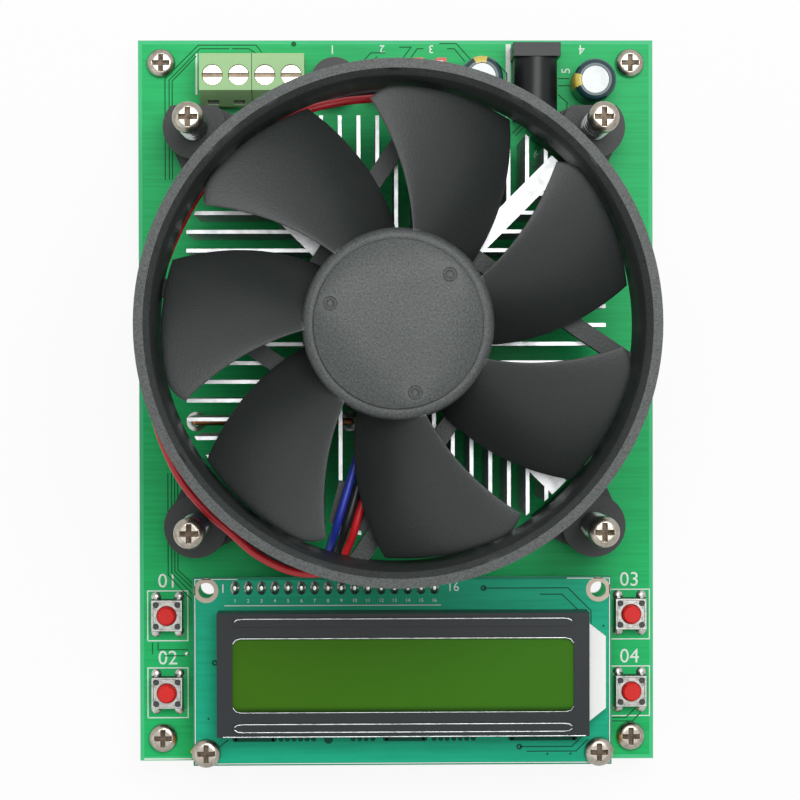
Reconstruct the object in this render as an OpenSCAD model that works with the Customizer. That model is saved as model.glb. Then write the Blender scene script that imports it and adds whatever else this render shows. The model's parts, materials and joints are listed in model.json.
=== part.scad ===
// Bench dc electronic load: a green board with a fan-cooled heatsink, a two-line display and four keys.
// Millimetres, +Z up. +Y points to the terminals, +X to the right as the display is read.
// The origin lies under the middle of the main board, on the surface that the standoffs stand on.

/* [Main board] */
// Width of the main board
board_w = 100; // [96:1:120]
// Length of the main board
board_l = 140; // [138:1:160]
// Thickness of the main board
board_t = 1.6; // [1.2:0.2:2.4]
// Distance of the corner holes from the board's edges
corner_inset = 4.5; // [4:0.25:5]
// Radius of the clearance holes for M3 screws
clear_r = 1.6; // [1.5:0.05:1.8]
// Height of the standoffs under the board
standoff_h = 10; // [8:1:20]
// Width across the flats of the standoffs
standoff_flats = 5.5; // [5:0.5:6]
// Depth of the tapped holes in the lower ends of the standoffs
standoff_bore = 5; // [4:0.5:5.5]

/* [Screws] */
// Core radius of the M3 threads, in tapped holes and nuts
thread_r = 1.25; // [1.2:0.05:1.3]
// Head radius of the board screws
head_r = 2.75; // [2.5:0.05:3]
// Head height of the board screws
head_h = 2; // [1.6:0.1:2.4]
// Length of the board screws below their heads
board_screw_l = 5; // [4:0.5:6]

/* [Heatsink] */
// Place of the cooler's axis to the right of the board's middle
cooler_x = -0.5; // [-2:0.1:2]
// Strip along the terminal edge that the heatsink leaves free
terminal_strip = 17.4; // [17:0.1:19]
// Gap between the heatsink and the display board, seen from above
display_strip = 9.4; // [9:0.1:11]
// How much further the heatsink's round corners reach than its flats
corner_reach = 3.8; // [3:0.1:4.5]
// Height of the heatsink
heatsink_h = 26; // [22:0.5:30]
// Distance between neighbouring fins
fin_pitch = 3.43; // [3:0.01:4]
// Thickness of a fin
fin_t = 0.7; // [0.5:0.05:1]
// Thickness of the diagonal spines
spine_t = 3.6; // [2.5:0.1:4.5]
// Radius of the solid core
core_r = 9; // [7:0.5:12]

/* [Power transistors] */
// Width of a transistor body
mosfet_w = 15.9; // [15:0.1:16.5]
// Length of a transistor body
mosfet_l = 20.8; // [20:0.1:21.5]
// Height of a transistor body
mosfet_h = 5; // [4.6:0.1:5.4]
// Gap between the two transistors
mosfet_gap = 1.6; // [1:0.1:3]
// Thickness of the thermal pad
pad_t = 0.3; // [0.2:0.1:0.5]

/* [Fan] */
// How far the fan ring stands out past the heatsink's corners
ring_overhang = 4.3; // [4:0.1:5]
// Height of the fan ring
ring_h = 20; // [18:0.5:24]
// Wall of the ring at its rim
ring_wall = 1.7; // [1.4:0.1:2]
// Gap between the heatsink and the ring
ring_lift = 1.8; // [1.4:0.1:2]
// Distance of the blade tips from the outside of the ring
tip_depth = 4.5; // [4.2:0.1:6]
// Running gap between the blade tips and the ring's throat
tip_gap = 1; // [0.8:0.1:1.2]
// Number of blades
blade_count = 7; // [5:1:8]
// Thickness of a blade
blade_t = 1.3; // [1:0.1:1.6]
// Radius of the hub
hub_r = 17; // [16.6:0.1:17.6]
// Height of the hub
hub_h = 16; // [15.6:0.1:17]
// Wall of the hub
hub_wall = 1.2; // [1:0.05:1.4]
// Width of the struts
strut_w = 3.2; // [2.6:0.1:4]
// Height of the struts
strut_h = 4.2; // [3.6:0.1:4.4]
// Radius of the motor base
base_r = 17.4; // [17:0.1:18]
// Thickness of the motor base
base_t = 2; // [1.6:0.1:2.2]

/* [Fan motor] */
// Radius of the shaft
shaft_r = 1.5; // [1.4:0.05:1.6]
// Wall of the sleeve bearing
bearing_wall = 1.45; // [1.3:0.05:1.6]
// Wall of the bearing tube
tube_wall = 1.5; // [1.3:0.05:1.6]
// Thickness of the steel yoke
yoke_t = 0.8; // [0.6:0.05:1]
// Thickness of the ring magnet
magnet_t = 2; // [1.6:0.1:2.2]
// Height of the ring magnet
magnet_h = 9; // [7:0.5:9.5]
// Air gap between the magnet and the stator
air_gap = 0.4; // [0.3:0.05:0.5]
// Height of the stator core
stator_h = 6; // [5:0.5:6.5]
// Thickness of the motor's circuit board
motor_board_t = 1; // [0.8:0.1:1.1]

/* [Spring screws] */
// Distance of the spring screws from the outside of the ring
foot_reach = 7.2; // [6.4:0.1:7.6]
// Radius of the foot bosses
foot_r = 6; // [5.5:0.05:6.1]
// Height of the foot bosses above the board
foot_h = 12; // [10:0.5:14]
// Gap between the feet and the board
foot_gap = 1; // [0.5:0.1:1.5]
// Head radius of the spring screws
spring_head_r = 2.9; // [2.8:0.05:3.2]
// Head height of the spring screws
spring_head_h = 2.6; // [2.2:0.1:3]
// Length of the springs as fitted
spring_l = 19.4; // [17:0.2:21]
// Mean radius of the springs
spring_r = 2.1; // [2:0.05:2.3]
// Wire diameter of the springs
spring_wire = 0.8; // [0.6:0.05:0.9]
// Turns of each spring
spring_turns = 7; // [5:1:8]
// Thickness of the nuts under the board
nut_h = 2.4; // [2:0.1:3]

/* [Screw terminals] */
// Distance between neighbouring poles
terminal_pitch = 5; // [5:0.02:5.08]
// Distance of the wire entries from the board's edge
terminal_inset = 3.7; // [3:0.1:4]
// Depth of the terminal housings
terminal_depth = 9.6; // [9.4:0.1:9.8]
// Height of the terminal housings
terminal_h = 11; // [10.8:0.1:12]
// Head radius of the terminal screws
terminal_head_r = 1.9; // [1.8:0.05:2]
// Rise of the cages
cage_rise = 2; // [1.5:0.1:2]
// Thickness of the contact bars
bar_t = 0.8; // [0.6:0.05:0.8]

/* [Power jack] */
// Distance of the jack's face from the board's edge
jack_inset = 1.6; // [1:0.1:2]
// Width of the jack's flange
jack_w = 9; // [8.6:0.1:9.4]
// Length of the jack
jack_l = 14.2; // [13.6:0.1:14.6]
// Height of the jack
jack_h = 11; // [10.8:0.1:11.6]
// Radius of the plug hole
plug_r = 3.15; // [3:0.05:3.2]
// Radius of the centre pin
jack_pin_r = 1; // [0.8:0.05:1.2]

/* [Small parts] */
// Radius of the capacitors
cap_r = 4; // [3.8:0.05:4.2]
// Height of the capacitors
cap_h = 11.5; // [10:0.5:14]
// Radius of the buzzer
buzzer_r = 4.5; // [4.2:0.1:4.8]
// Height of the buzzer
buzzer_h = 5.5; // [5:0.1:8]
// Width of the fan socket
socket_w = 6.4; // [6.2:0.1:6.8]
// Depth of the fan socket
socket_d = 5.8; // [5.6:0.1:6.2]
// Height of the fan socket
socket_h = 6; // [5.5:0.1:7]
// Width of the contrast trimmer
trimmer_w = 6.7; // [6.4:0.1:7]
// Height of the contrast trimmer
trimmer_h = 4.8; // [4.4:0.1:5.2]
// Radius of the trimmer's rotor
trimmer_rotor_r = 1.6; // [1.4:0.05:1.8]
// Radius of the shunt wire
shunt_r = 0.7; // [0.5:0.05:0.8]
// Length of the shunt between its ends
shunt_l = 30; // [26:0.5:32]

/* [Keys] */
// Distance of the left keys from the board's edge
left_key_inset = 5.4; // [5:0.1:6]
// Distance of the right keys from the board's edge
right_key_inset = 4.6; // [4.2:0.1:5]
// Distance of the lower keys from the display edge of the board
key_from_edge = 13.5; // [13:0.1:14.5]
// Distance between the lower and the upper keys
key_pitch = 15; // [13:0.1:15.5]
// Side of a key's square base
key_w = 6; // [5.8:0.1:6.2]
// Height of a key's base with its cover
key_h = 3.5; // [3.4:0.1:4]
// Radius of a button
button_r = 1.75; // [1.6:0.05:1.9]
// Height of a button above its cover
button_rise = 1.5; // [1:0.1:3]
// Travel of a button
button_travel = 0.25; // [0.2:0.05:0.4]

/* [Display] */
// Place of the display to the right of the board's middle
lcd_x = 0.9; // [-1:0.1:1]
// Distance of the display board from the main board's edge
lcd_inset = 0.4; // [0:0.1:1]
// Distance of the display board's ends from the main board's sides
lcd_side = 10; // [9.5:0.5:12]
// Length of the display board
lcd_l = 36; // [35:0.5:37]
// Gap between the main board and the display board
lcd_lift = 8.5; // [8:0.5:11]
// Distance of the display's holes from its edges
lcd_hole_inset = 2.5; // [2.2:0.1:3]
// Distance of the steel bezel from the ends of the display board
bezel_side = 4.8; // [4.6:0.1:6]
// Length of the steel bezel
bezel_l = 23.4; // [22:0.1:25]
// Height of the steel bezel
bezel_h = 7; // [6:0.1:8]
// Thickness of the bezel's sheet
bezel_t = 0.6; // [0.5:0.05:0.8]
// Width of the bezel's face beside the window
window_side = 2.95; // [2:0.05:4]
// Length of the window
window_l = 14; // [13:0.1:15]
// Thickness of the glass
glass_t = 2.8; // [2.2:0.1:3]
// Number of pins on the display
lcd_pins = 16; // [14:1:16]

/* [Clearances] */
// Radial gap between a screw and its thread, and round a pressed-in ring
fit_gap = 0.03; // [0.02:0.01:0.04]
// Radial gap of a running fit
run_gap = 0.05; // [0.04:0.01:0.06]
// Gap between sliding or nested faces
slide_gap = 0.2; // [0.15:0.05:0.25]

/* [Hidden] */
$fn = 64;

// A little more than a wall, so that a cut breaks through
cut = 0.5;

// Levels from the table upwards
board_top = standoff_h + board_t;
pin_drop = board_t + 1.6;
heatsink_z = board_top + mosfet_h + pad_t;
heatsink_top = heatsink_z + heatsink_h;
ring_z = heatsink_top + ring_lift;
ring_top = ring_z + ring_h;

// Edges of the main board
top_edge = board_l / 2;
side_edge = board_w / 2;

// The cooler fills the board between the terminals and the display
heatsink_flat = (board_l - terminal_strip - display_strip - lcd_inset - lcd_l) / 2;
heatsink_r = heatsink_flat + corner_reach;
cooler_y = top_edge - terminal_strip - heatsink_flat;
ring_r = heatsink_r + ring_overhang;
tip_r = ring_r - tip_depth;
foot_d = ring_r + foot_reach;
cooler_pitch = foot_d * sqrt(2);

// The row along the terminal edge: its parts keep their sizes and share the free space as gaps
row_widths = [4 * terminal_pitch, 2 * buzzer_r, trimmer_w, socket_w, 2 * cap_r, jack_w, 2 * cap_r];
row_gaps = [5.15, 1.2, 1.75, 2.25, 2.6, 2, 2.6, 0.85];
row_start = corner_inset + head_r - side_edge;
function total(v, n) = n == 0 ? 0 : v[n - 1] + total(v, n - 1);
row_spread = (-2 * row_start - total(row_widths, len(row_widths))) / total(row_gaps, len(row_gaps));
function row_x(i) = row_start + total(row_widths, i) + row_widths[i] / 2
    + row_spread * total(row_gaps, i + 1);
terminal_x = row_x(0);
jack_x = row_x(5);

// The fan, from its base to its hub
throat_r = tip_r + tip_gap;
ring_waist_r = ring_r - 0.9;
leg_in_r = ring_r - 1.3;
leg_out_r = ring_r + 0.5;
leg_half_angle = 9;
strut_offset = base_r + 0.6;
strut_turn = 56;
strut_end_r = throat_r + 0.8;
strut_l = sqrt(pow(strut_end_r, 2) - pow(strut_offset - strut_w / 2, 2));
hub_lift = 0.6;
hub_z = heatsink_top + strut_h + hub_lift;
hub_top = hub_z + hub_h;
hub_round = 2;
hub_boss_r = shaft_r + 1.7;
hub_boss_l = 3.3;
hub_in_r = hub_r - hub_wall;

// Blade edges as angles and heights, at the hub and at the tip
lead_angle = [81, 97];
trail_angle = [38.5, 61];
lead_z = [hub_top - 1, hub_top - 0.8];
trail_z = [hub_z + 1.2, hub_z + 4];
chord_steps = 8;
span_steps = 6;
blade_sink = 0.5;
tip_corner = 2.2;

// The fan motor, from the shaft outwards
bearing_in_r = shaft_r + run_gap;
bearing_out_r = bearing_in_r + bearing_wall;
tube_in_r = bearing_out_r + fit_gap;
tube_out_r = tube_in_r + tube_wall;
tube_floor_z = heatsink_top + 0.8;
shaft_z = tube_floor_z + 0.3;
clip_z = shaft_z + 0.9;
clip_t = 0.4;
clip_groove_r = shaft_r - 0.4;
bearing_z = clip_z + clip_t + 0.3;
yoke_out_r = hub_in_r - fit_gap;
magnet_out_r = yoke_out_r - yoke_t - fit_gap;
magnet_in_r = magnet_out_r - magnet_t;
magnet_z = hub_z + 1.5;
stator_r = magnet_in_r - air_gap;
stator_z = magnet_z + (magnet_h - stator_h) / 2;
stator_poles = 4;
pole_w = 3.4;
coil_t = 1.5;
tube_top_z = stator_z + stator_h + 0.8;
bearing_l = tube_top_z - 0.5 - bearing_z;
stator_seat_r = tube_out_r + 0.8;
board_seat_r = stator_seat_r + 1.6;
motor_board_z = heatsink_top + base_t + 1;
motor_board_r = magnet_in_r + 0.6;

// Spring screws and feet on the corners of a square
foot_z = board_top + foot_gap;
foot_top = board_top + foot_h;
foot_bore_r = 1.9;
foot_plate_t = 5;
shank_r = thread_r - fit_gap;
cooler_points = [for (sx = [-1, 1], sy = [-1, 1])
    [cooler_x + sx * cooler_pitch / 2, cooler_y + sy * cooler_pitch / 2]];
corner_points = [for (sx = [-1, 1], sy = [-1, 1])
    [sx * (side_edge - corner_inset), sy * (top_edge - corner_inset)]];

// Screw terminals
terminal_front = top_edge - terminal_inset;
pole_setback = 4.1;
pole_y = terminal_front - pole_setback;
terminal_flat = 7;
cage_w = 3.5;
cage_d = 3.6;
cage_floor = 0.8;
cage_roof = 1.2;
bar_w = 2.6;
bar_z = board_top + 5;
cage_z = board_top + 1.1;
window_h = bar_z + bar_t + 0.15 - cage_z - cage_floor;
cage_h = cage_floor + window_h + cage_roof;
screw_seat_z = cage_z + cage_h + cage_rise + 0.15;
terminal_head_h = 1.2;
bar_back = terminal_front - 7.8;
bar_leg_d = 0.8;
bar_leg_w = 1.2;
function pole_x(i) = terminal_x + (i - 1.5) * terminal_pitch;

// Power jack
jack_front = top_edge - jack_inset;
jack_flange = 2.6;
jack_axis_z = board_top + jack_h - jack_w / 2;
jack_barrel_r = jack_w / 2 - 0.4;
plug_depth = 10;
jack_tail_t = 0.3;
jack_tail_w = 1.6;
jack_spring_y = 6.6;
jack_spring_t = 0.6;

// Small parts along the terminal edge
cap_points = [[row_x(6), top_edge - 8.7], [row_x(4), top_edge - 8.2]];
cap_lead = 1.75;
sleeve_t = 0.2;
buzzer_point = [row_x(1), top_edge - 8.3];
buzzer_pin = 2.5;
socket_point = [row_x(3), top_edge - 4 - socket_d / 2];
socket_pitch = 1.6;
socket_wall = 0.6;
socket_floor = 1;
plug_h = 6.6;
contact_r = 0.3;
trimmer_point = [row_x(2), top_edge - 8];
trimmer_pin = 2.54;
trimmer_recess = 0.8;
shunt_point = [cooler_x - 23.5, cooler_y - 18.2];
shunt_lift = 1.6;
transistor_pitch = mosfet_w + mosfet_gap;
lead_pitch = 5.45;
lead_reach = 4;
lead_w = 1.2;
lead_t = 0.6;
lead_lift = 2;
tab_t = 2;
tab_inset = 1;
tab_hole_r = 1.8;

// Keys
lower_key_y = -top_edge + key_from_edge;
key_points = [for (x = [-side_edge + left_key_inset, side_edge - right_key_inset], k = [1, 0])
    [x, lower_key_y + k * key_pitch]];
cover_t = 0.3;
key_leg_x = 2.25;
key_leg_w = 0.7;
key_leg_t = 0.3;
button_flange_r = button_r + 0.6;
button_flange_t = 0.7;
rivet_r = 0.5;
rivet_place = key_w / 2 - 0.9;
key_cover_z = board_top + key_h - cover_t;

// Display stack
lcd_y = -top_edge + lcd_inset + lcd_l / 2;
lcd_w = board_w - 2 * lcd_side;
lcd_hole_w = lcd_w - 2 * lcd_hole_inset;
lcd_hole_l = lcd_l - 2 * lcd_hole_inset;
bezel_w = lcd_w - 2 * bezel_side;
window_w = bezel_w - 2 * window_side;
lcd_t = 1.6;
lcd_z = board_top + lcd_lift;
lcd_top = lcd_z + lcd_t;
bezel_top = lcd_top + bezel_h;
backlight_t = bezel_h - bezel_t - glass_t;
backlight_tab = 3.4;
header_h = 2.5;
pin_pitch = 2.54;
pin_w = 0.6;
pin_row_y = lcd_y + lcd_l / 2 - 2;
first_pin_x = lcd_x - lcd_w / 2 + 8;
function lcd_pin_x(i) = first_pin_x + i * pin_pitch;
lcd_hole_r = 1.5;
lcd_holes = [for (sx = [-1, 1], sy = [-1, 1])
    [lcd_x + sx * lcd_hole_w / 2, lcd_y + sy * lcd_hole_l / 2]];
lcd_posts = [for (p = lcd_holes) if (p[1] < lcd_y) p];

// Chips under the display, placed from its middle
controller_place = [9.1, 1];
controller_w = 7;
controller_h = 1.4;
controller_pitch = 0.8;
amplifier_place = [-14.9, 3];
amplifier_w = 3.9;
amplifier_l = 4.9;
amplifier_h = 1.5;
amplifier_pitch = 1.27;
regulator_place = [27.1, -1];
regulator_w = 6.1;
regulator_l = 6.6;
regulator_h = 2.3;
regulator_pitch = 4.6;

transistor_lead_y = cooler_y - mosfet_l / 2 - lead_reach;

// Holes for pins and legs in the main board, as x, y and radius
pin_holes = concat(
    [for (i = [0:3]) [pole_x(i), bar_back + bar_leg_d / 2, 0.8]],
    [for (p = jack_pin_points()) [p[0], p[1], 1]],
    [for (p = cap_points, s = [-1, 1]) [p[0] + s * cap_lead, p[1], 0.45]],
    [for (s = [-1, 1]) [buzzer_point[0] + s * buzzer_pin, buzzer_point[1], 0.5]],
    [for (i = [-1:1]) [socket_point[0] + i * socket_pitch, socket_point[1], 0.45]],
    [for (i = [-1:1]) [trimmer_point[0] + i * trimmer_pin, trimmer_point[1], 0.5]],
    [for (s = [-1, 1]) [shunt_point[0] + s * shunt_l / 2, shunt_point[1], shunt_r + 0.15]],
    [for (k = [-1, 1], i = [-1:1]) [transistor_x(k) + i * lead_pitch, transistor_lead_y, 0.8]],
    [for (p = key_points, sx = [-1, 1], sy = [-1, 1])
        [p[0] + sx * key_leg_x, p[1] + sy * (key_w + key_leg_t) / 2, 0.5]],
    [for (i = [0:lcd_pins - 1]) [lcd_pin_x(i), pin_row_y, 0.5]]
);
function transistor_x(k) = cooler_x + k * transistor_pitch / 2;
function jack_pin_points() = [
    [jack_x, jack_front - jack_l + jack_tail_t / 2],
    [jack_x, jack_front - jack_l + jack_spring_y]
];

// Fan leads: each point is a place on the middle lead and the step from it to the red lead.
// The blue lead lies as far on the other side. The first points count from the cooler's axis and
// the heatsink's top, and spread with the heatsink. The last ones count from the socket on the board.
lead_r = 0.75;
lead_sides = 8;
lead_lay_r = 42.2;
lead_round = [
    [[-3, -14.1, 3.6], [1.6, -0.3, 0]],
    [[-4.7, -20.7, 3.6], [1.6, -0.3, 0]],
    [[-6.5, -27.2, 3.6], [1.6, -0.3, 0]],
    [[-8.9, -35.2, 3.6], [1.6, -0.4, 0]],
    [[-10.3, -39.6, 1.6], [1.5, -0.5, 0.3]],
    [[-12.5, -43.6, -1.3], [0.9, -1.2, 0.8]],
    [[-18.5, -44.5, -3.7], [0, -0.9, 1.4]],
    [[-25.1, -41.8, -4.9], [-0.4, -0.6, 1.6]],
    [[-30.5, -37.8, -5.3], [-0.2, -0.2, 1.7]],
    [[-34.4, -34.4, -5.3], [-0.2, -0.2, 1.7]],
    [[-39.1, -28.4, -5.1], [-0.5, -0.2, 1.7]],
    [[-42.5, -20.2, -4.7], [-0.9, -0.2, 1.5]],
    [[-44.5, -12.2, -4.3], [-0.9, 0, 1.5]],
    [[-44.9, -4.2, -3.9], [-0.8, 0, 1.5]],
    [[-44.3, 3.8, -3.5], [-0.3, 0, 1.6]],
    [[-42.7, 11.2, -3.3], [0.2, 0, 1.7]],
    [[-39.9, 18.2, -3.3], [0.3, -0.1, 1.7]],
    [[-36, 24.9, -3.3], [0.2, -0.2, 1.7]],
    [[-30.9, 30.9, -3.3], [0.2, -0.2, 1.7]],
    [[-24.9, 35.8, -3.3], [0.2, -0.2, 1.7]],
    [[-17.9, 39.8, -3.3], [0.3, -0.7, 1.5]],
    [[-10.1, 42.2, -3.7], [0.2, -1.1, 1.3]],
    [[-2.5, 43.4, -5.3], [0.3, -1.3, 1]]
];
lead_drop = [
    [[-3.5, -3.7, 21], [1, -1.2, 0.4]],
    [[-0.5, -1.1, 14], [1.5, -0.6, 0]],
    [[0, 0, 7.6], [1.6, 0, 0]]
];
lead_spread = [heatsink_r / lead_lay_r, heatsink_r / lead_lay_r, 1];
function spread(p) = [for (k = [0:2]) p[k] * lead_spread[k]];
function lead_path(side) = concat(
    [for (q = lead_round) [cooler_x, cooler_y, heatsink_top] + spread(q[0]) + side * q[1]],
    [for (q = lead_drop) [socket_point[0], socket_point[1], board_top] + q[0] + side * q[1]]
);

// Shared shapes

// Block with its middle at x, y and its underside at z
// Corner points of a rectangle with rounded corners, about the origin
function rounded(w, l, r) = [for (k = [0:3], a = [0:15:90])
    [(k == 0 || k == 3 ? 1 : -1) * (w / 2 - r) + r * cos(90 * k + a),
        (k < 2 ? 1 : -1) * (l / 2 - r) + r * sin(90 * k + a)]];
module block(x, y, z, w, d, h) {
    translate([x - w / 2, y - d / 2, z])
        cube([w, d, h]);
}

// Upright rod
module rod(x, y, z, r, h) {
    translate([x, y, z])
        cylinder(r = r, h = h);
}

// Hexagonal bar, and the same with a bore
module hex_solid(p, z, flats, h) {
    translate([p[0], p[1], z])
        cylinder(r = flats / 2 / cos(30), h = h, $fn = 6);
}

module hex_bar(p, z, flats, bore_r, h) {
    difference() {
        hex_solid(p, z, flats, h);
        rod(p[0], p[1], z - cut, bore_r, h + 2 * cut);
    }
}

// Pan-head screw with a cross recess, seated with its head on z
module pan_screw(p, z, r, h, l) {
    recess_w = r * 0.35;
    translate([p[0], p[1], z]) {
        difference() {
            rotate_extrude()
                polygon(concat([[0, 0], [r, 0], [r, h * 0.45]],
                    [for (a = [15:15:75]) [r * (0.55 + 0.45 * cos(a)), h * (0.45 + 0.55 * sin(a))]],
                    [[r * 0.55, h], [0, h]]));
            for (a = [0, 90])
                rotate(a)
                    translate([-r * 0.62, -recess_w / 2, h * 0.4])
                        cube([r * 1.24, recess_w, h]);
        }
        translate([0, 0, -l])
            cylinder(r = shank_r, h = l);
    }
}

// Tube swept along points, with its first normal chosen by hand
function unit(v) = v / norm(v);
function path_tangent(p, i) = unit(p[min(i + 1, len(p) - 1)] - p[max(i - 1, 0)]);
function flat_to(n, t) = unit(n - (n * t) * t);
function path_normals(p, n, i = 0) = i == len(p) ? [] :
    let (m = flat_to(n, path_tangent(p, i)))
    concat([m], path_normals(p, m, i + 1));
function ring_points(c, t, n, r, sides) = let (b = cross(t, n))
    [for (k = [0:sides - 1]) c + r * (cos(360 * k / sides) * n + sin(360 * k / sides) * b)];

module swept_tube(p, r, sides, first_normal) {
    rings = len(p);
    normals = path_normals(p, first_normal);
    points = [for (i = [0:rings - 1]) each ring_points(p[i], path_tangent(p, i), normals[i], r, sides)];
    walls = [for (i = [0:rings - 2], k = [0:sides - 1])
        let (a = i * sides + k, b = i * sides + (k + 1) % sides)
        each [[a, a + sides, b + sides], [a, b + sides, b]]];
    start = [for (k = [0:sides - 1]) k];
    end = [for (k = [0:sides - 1]) rings * sides - 1 - k];
    polyhedron(points, concat(walls, [start, end]), convexity = 6);
}

// Main board and what holds it up

module main_pcb() {
    color("#2f9e58")
        difference() {
            block(0, 0, standoff_h, board_w, board_l, board_t);
            for (p = concat(corner_points, cooler_points, lcd_holes))
                rod(p[0], p[1], standoff_h - cut, clear_r, board_t + 2 * cut);
            for (p = pin_holes)
                rod(p[0], p[1], standoff_h - cut, p[2], board_t + 2 * cut);
        }
}

// Standoffs tapped from both ends
module board_standoffs() {
    screw_bore = board_screw_l - board_t + 2 * slide_gap;
    color("#c9a24a")
        for (p = corner_points)
            difference() {
                hex_solid(p, 0, standoff_flats, standoff_h);
                rod(p[0], p[1], -cut, thread_r, standoff_bore + cut);
                rod(p[0], p[1], standoff_h - screw_bore, thread_r + fit_gap, screw_bore + cut);
            }
}

module corner_screws() {
    color("silver")
        for (p = corner_points)
            pan_screw(p, board_top, head_r, head_h, board_screw_l);
}

// Cooler

// One quarter of the straight fins, standing up from the spines towards +Y
module fin_quarter() {
    reach = heatsink_r + cut;
    fins = floor(heatsink_flat / fin_pitch);
    intersection() {
        polygon([[0, 0], [reach, reach], [-reach, reach]]);
        for (k = [-fins:fins])
            translate([k * fin_pitch - fin_t / 2, 0])
                square([fin_t, reach]);
    }
}

module heatsink() {
    color("#d7dadb")
        translate([cooler_x, cooler_y, heatsink_z])
            linear_extrude(heatsink_h)
                intersection() {
                    circle(r = heatsink_r);
                    square(2 * heatsink_flat, center = true);
                    union() {
                        circle(r = core_r);
                        for (a = [45, 135])
                            rotate(a)
                                square([3 * heatsink_r, spine_t], center = true);
                        for (a = [0:90:270])
                            rotate(a)
                                fin_quarter();
                    }
                }
}

module thermal_pad() {
    color("#b9bec4")
        block(cooler_x, cooler_y, board_top + mosfet_h,
            transistor_pitch + mosfet_w, mosfet_l, pad_t);
}

module transistor_bodies() {
    tab_w = mosfet_w - 2 * tab_inset;
    tab_l = mosfet_l - 2 * tab_inset;
    color("#26282a")
        for (k = [-1, 1])
            difference() {
                block(transistor_x(k), cooler_y, board_top, mosfet_w, mosfet_l, mosfet_h);
                block(transistor_x(k), cooler_y, board_top + mosfet_h - tab_t, tab_w, tab_l, tab_t + cut);
                rod(transistor_x(k), cooler_y + mosfet_l / 2 - 6, board_top - cut, tab_hole_r,
                    mosfet_h + 2 * cut);
            }
}

module transistor_metal() {
    color("#c8c4bc")
        for (k = [-1, 1]) {
            difference() {
                block(transistor_x(k), cooler_y, board_top + mosfet_h - tab_t,
                    mosfet_w - 2 * tab_inset, mosfet_l - 2 * tab_inset, tab_t);
                rod(transistor_x(k), cooler_y + mosfet_l / 2 - 6, board_top, tab_hole_r, mosfet_h + cut);
            }
            for (i = [-1:1])
                transistor_lead(transistor_x(k) + i * lead_pitch);
        }
}

// One lead: out of the body, then down through the board
module transistor_lead(x) {
    y0 = cooler_y - mosfet_l / 2;
    translate([x - lead_w / 2, transistor_lead_y - lead_t / 2, board_top])
        union() {
            translate([0, 0, lead_lift])
                cube([lead_w, y0 - transistor_lead_y + lead_t / 2, lead_t]);
            translate([0, 0, -pin_drop])
                cube([lead_w, lead_t, pin_drop + lead_lift + lead_t / 2]);
        }
}

// Fan frame: ring with a bell mouth, slanted struts, motor base, legs and feet

function bell_r(s) = throat_r + (ring_r - ring_wall - throat_r) * (1 - cos(90 * s));

module fan_ring() {
    mouth_h = 8;
    lip_h = 4;
    rotate_extrude()
        polygon(concat(
            [[throat_r, ring_z]],
            [for (s = [0:0.2:1]) [bell_r(s), ring_top - mouth_h * (1 - s)]],
            [[ring_r, ring_top], [ring_r, ring_top - lip_h],
                [ring_waist_r, ring_top - lip_h - 1], [ring_waist_r, ring_z]]));
}

module fan_strut() {
    translate([strut_offset - strut_w / 2, -strut_l, heatsink_top])
        cube([strut_w, strut_l, strut_h]);
}

// Plate beside the last strut that carries the leads out
module lead_plate() {
    plate_in_r = 30;
    plate_l = 8;
    plate_w = 10.4;
    plate_side = 3.4;
    rotate(256)
        translate([plate_in_r, -plate_side, heatsink_top])
            cube([plate_l, plate_w, base_t]);
}

// Leg under the ring and its foot, drawn on the +X axis
module fan_leg() {
    leg_top = ring_z + 9;
    rib_w = 2.2;
    rib_top = board_top + 22;
    web_half = 1.5 * foot_r;
    overlap = 0.4;
    rotate(-leg_half_angle)
        rotate_extrude(angle = 2 * leg_half_angle)
            translate([leg_in_r, foot_z])
                square([leg_out_r - leg_in_r, leg_top - foot_z]);
    translate([0, 0, foot_z])
        linear_extrude(foot_plate_t)
            polygon([[leg_in_r + overlap, -web_half], [foot_d, -foot_r],
                [foot_d, foot_r], [leg_in_r + overlap, web_half]]);
    rod(foot_d, 0, foot_z, foot_r, foot_top - foot_z);
    translate([0, rib_w / 2, 0])
        rotate([90, 0, 0])
            linear_extrude(rib_w)
                polygon([[leg_out_r - overlap, foot_z], [foot_d - foot_r + overlap, foot_z],
                    [foot_d - foot_r + overlap, foot_top], [leg_out_r - overlap, rib_top]]);
}

module motor_base() {
    difference() {
        union() {
            rod(0, 0, heatsink_top, base_r, base_t);
            rod(0, 0, heatsink_top, board_seat_r, motor_board_z - heatsink_top);
            rod(0, 0, heatsink_top, stator_seat_r, stator_z - heatsink_top);
            rod(0, 0, heatsink_top, tube_out_r, tube_top_z - heatsink_top);
        }
        rod(0, 0, tube_floor_z, tube_in_r, tube_top_z);
    }
}

// Room for the row of small parts, cut from the two feet beside it
module row_pocket() {
    row_gap = 0.4;
    pocket_h = foot_top - foot_z + 2 * cut;
    translate([-board_w / 2, terminal_front - terminal_depth - row_gap, foot_z - cut])
        cube([board_w, terminal_depth, pocket_h]);
    block(jack_x, jack_front - jack_l / 2, foot_z - cut, jack_w + 2 * row_gap,
        jack_l + 2 * row_gap, pocket_h);
}
module fan_frame() {
    color("#2b2d2e")
        translate([cooler_x, cooler_y, 0])
            difference() {
                union() {
                    fan_ring();
                    motor_base();
                    lead_plate();
                    for (k = [0:3]) {
                        rotate(strut_turn + 90 * k)
                            fan_strut();
                        rotate(45 + 90 * k)
                            fan_leg();
                    }
                }
                for (k = [0:3])
                    rotate(45 + 90 * k)
                        rod(foot_d, 0, foot_z - cut, foot_bore_r, foot_top - foot_z + 2 * cut);
                translate([-cooler_x, -cooler_y, 0])
                    row_pocket();
            }
}

// Fan rotor: a rounded hub and swept blades

function mix(a, b, t) = a + (b - a) * t;
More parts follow.
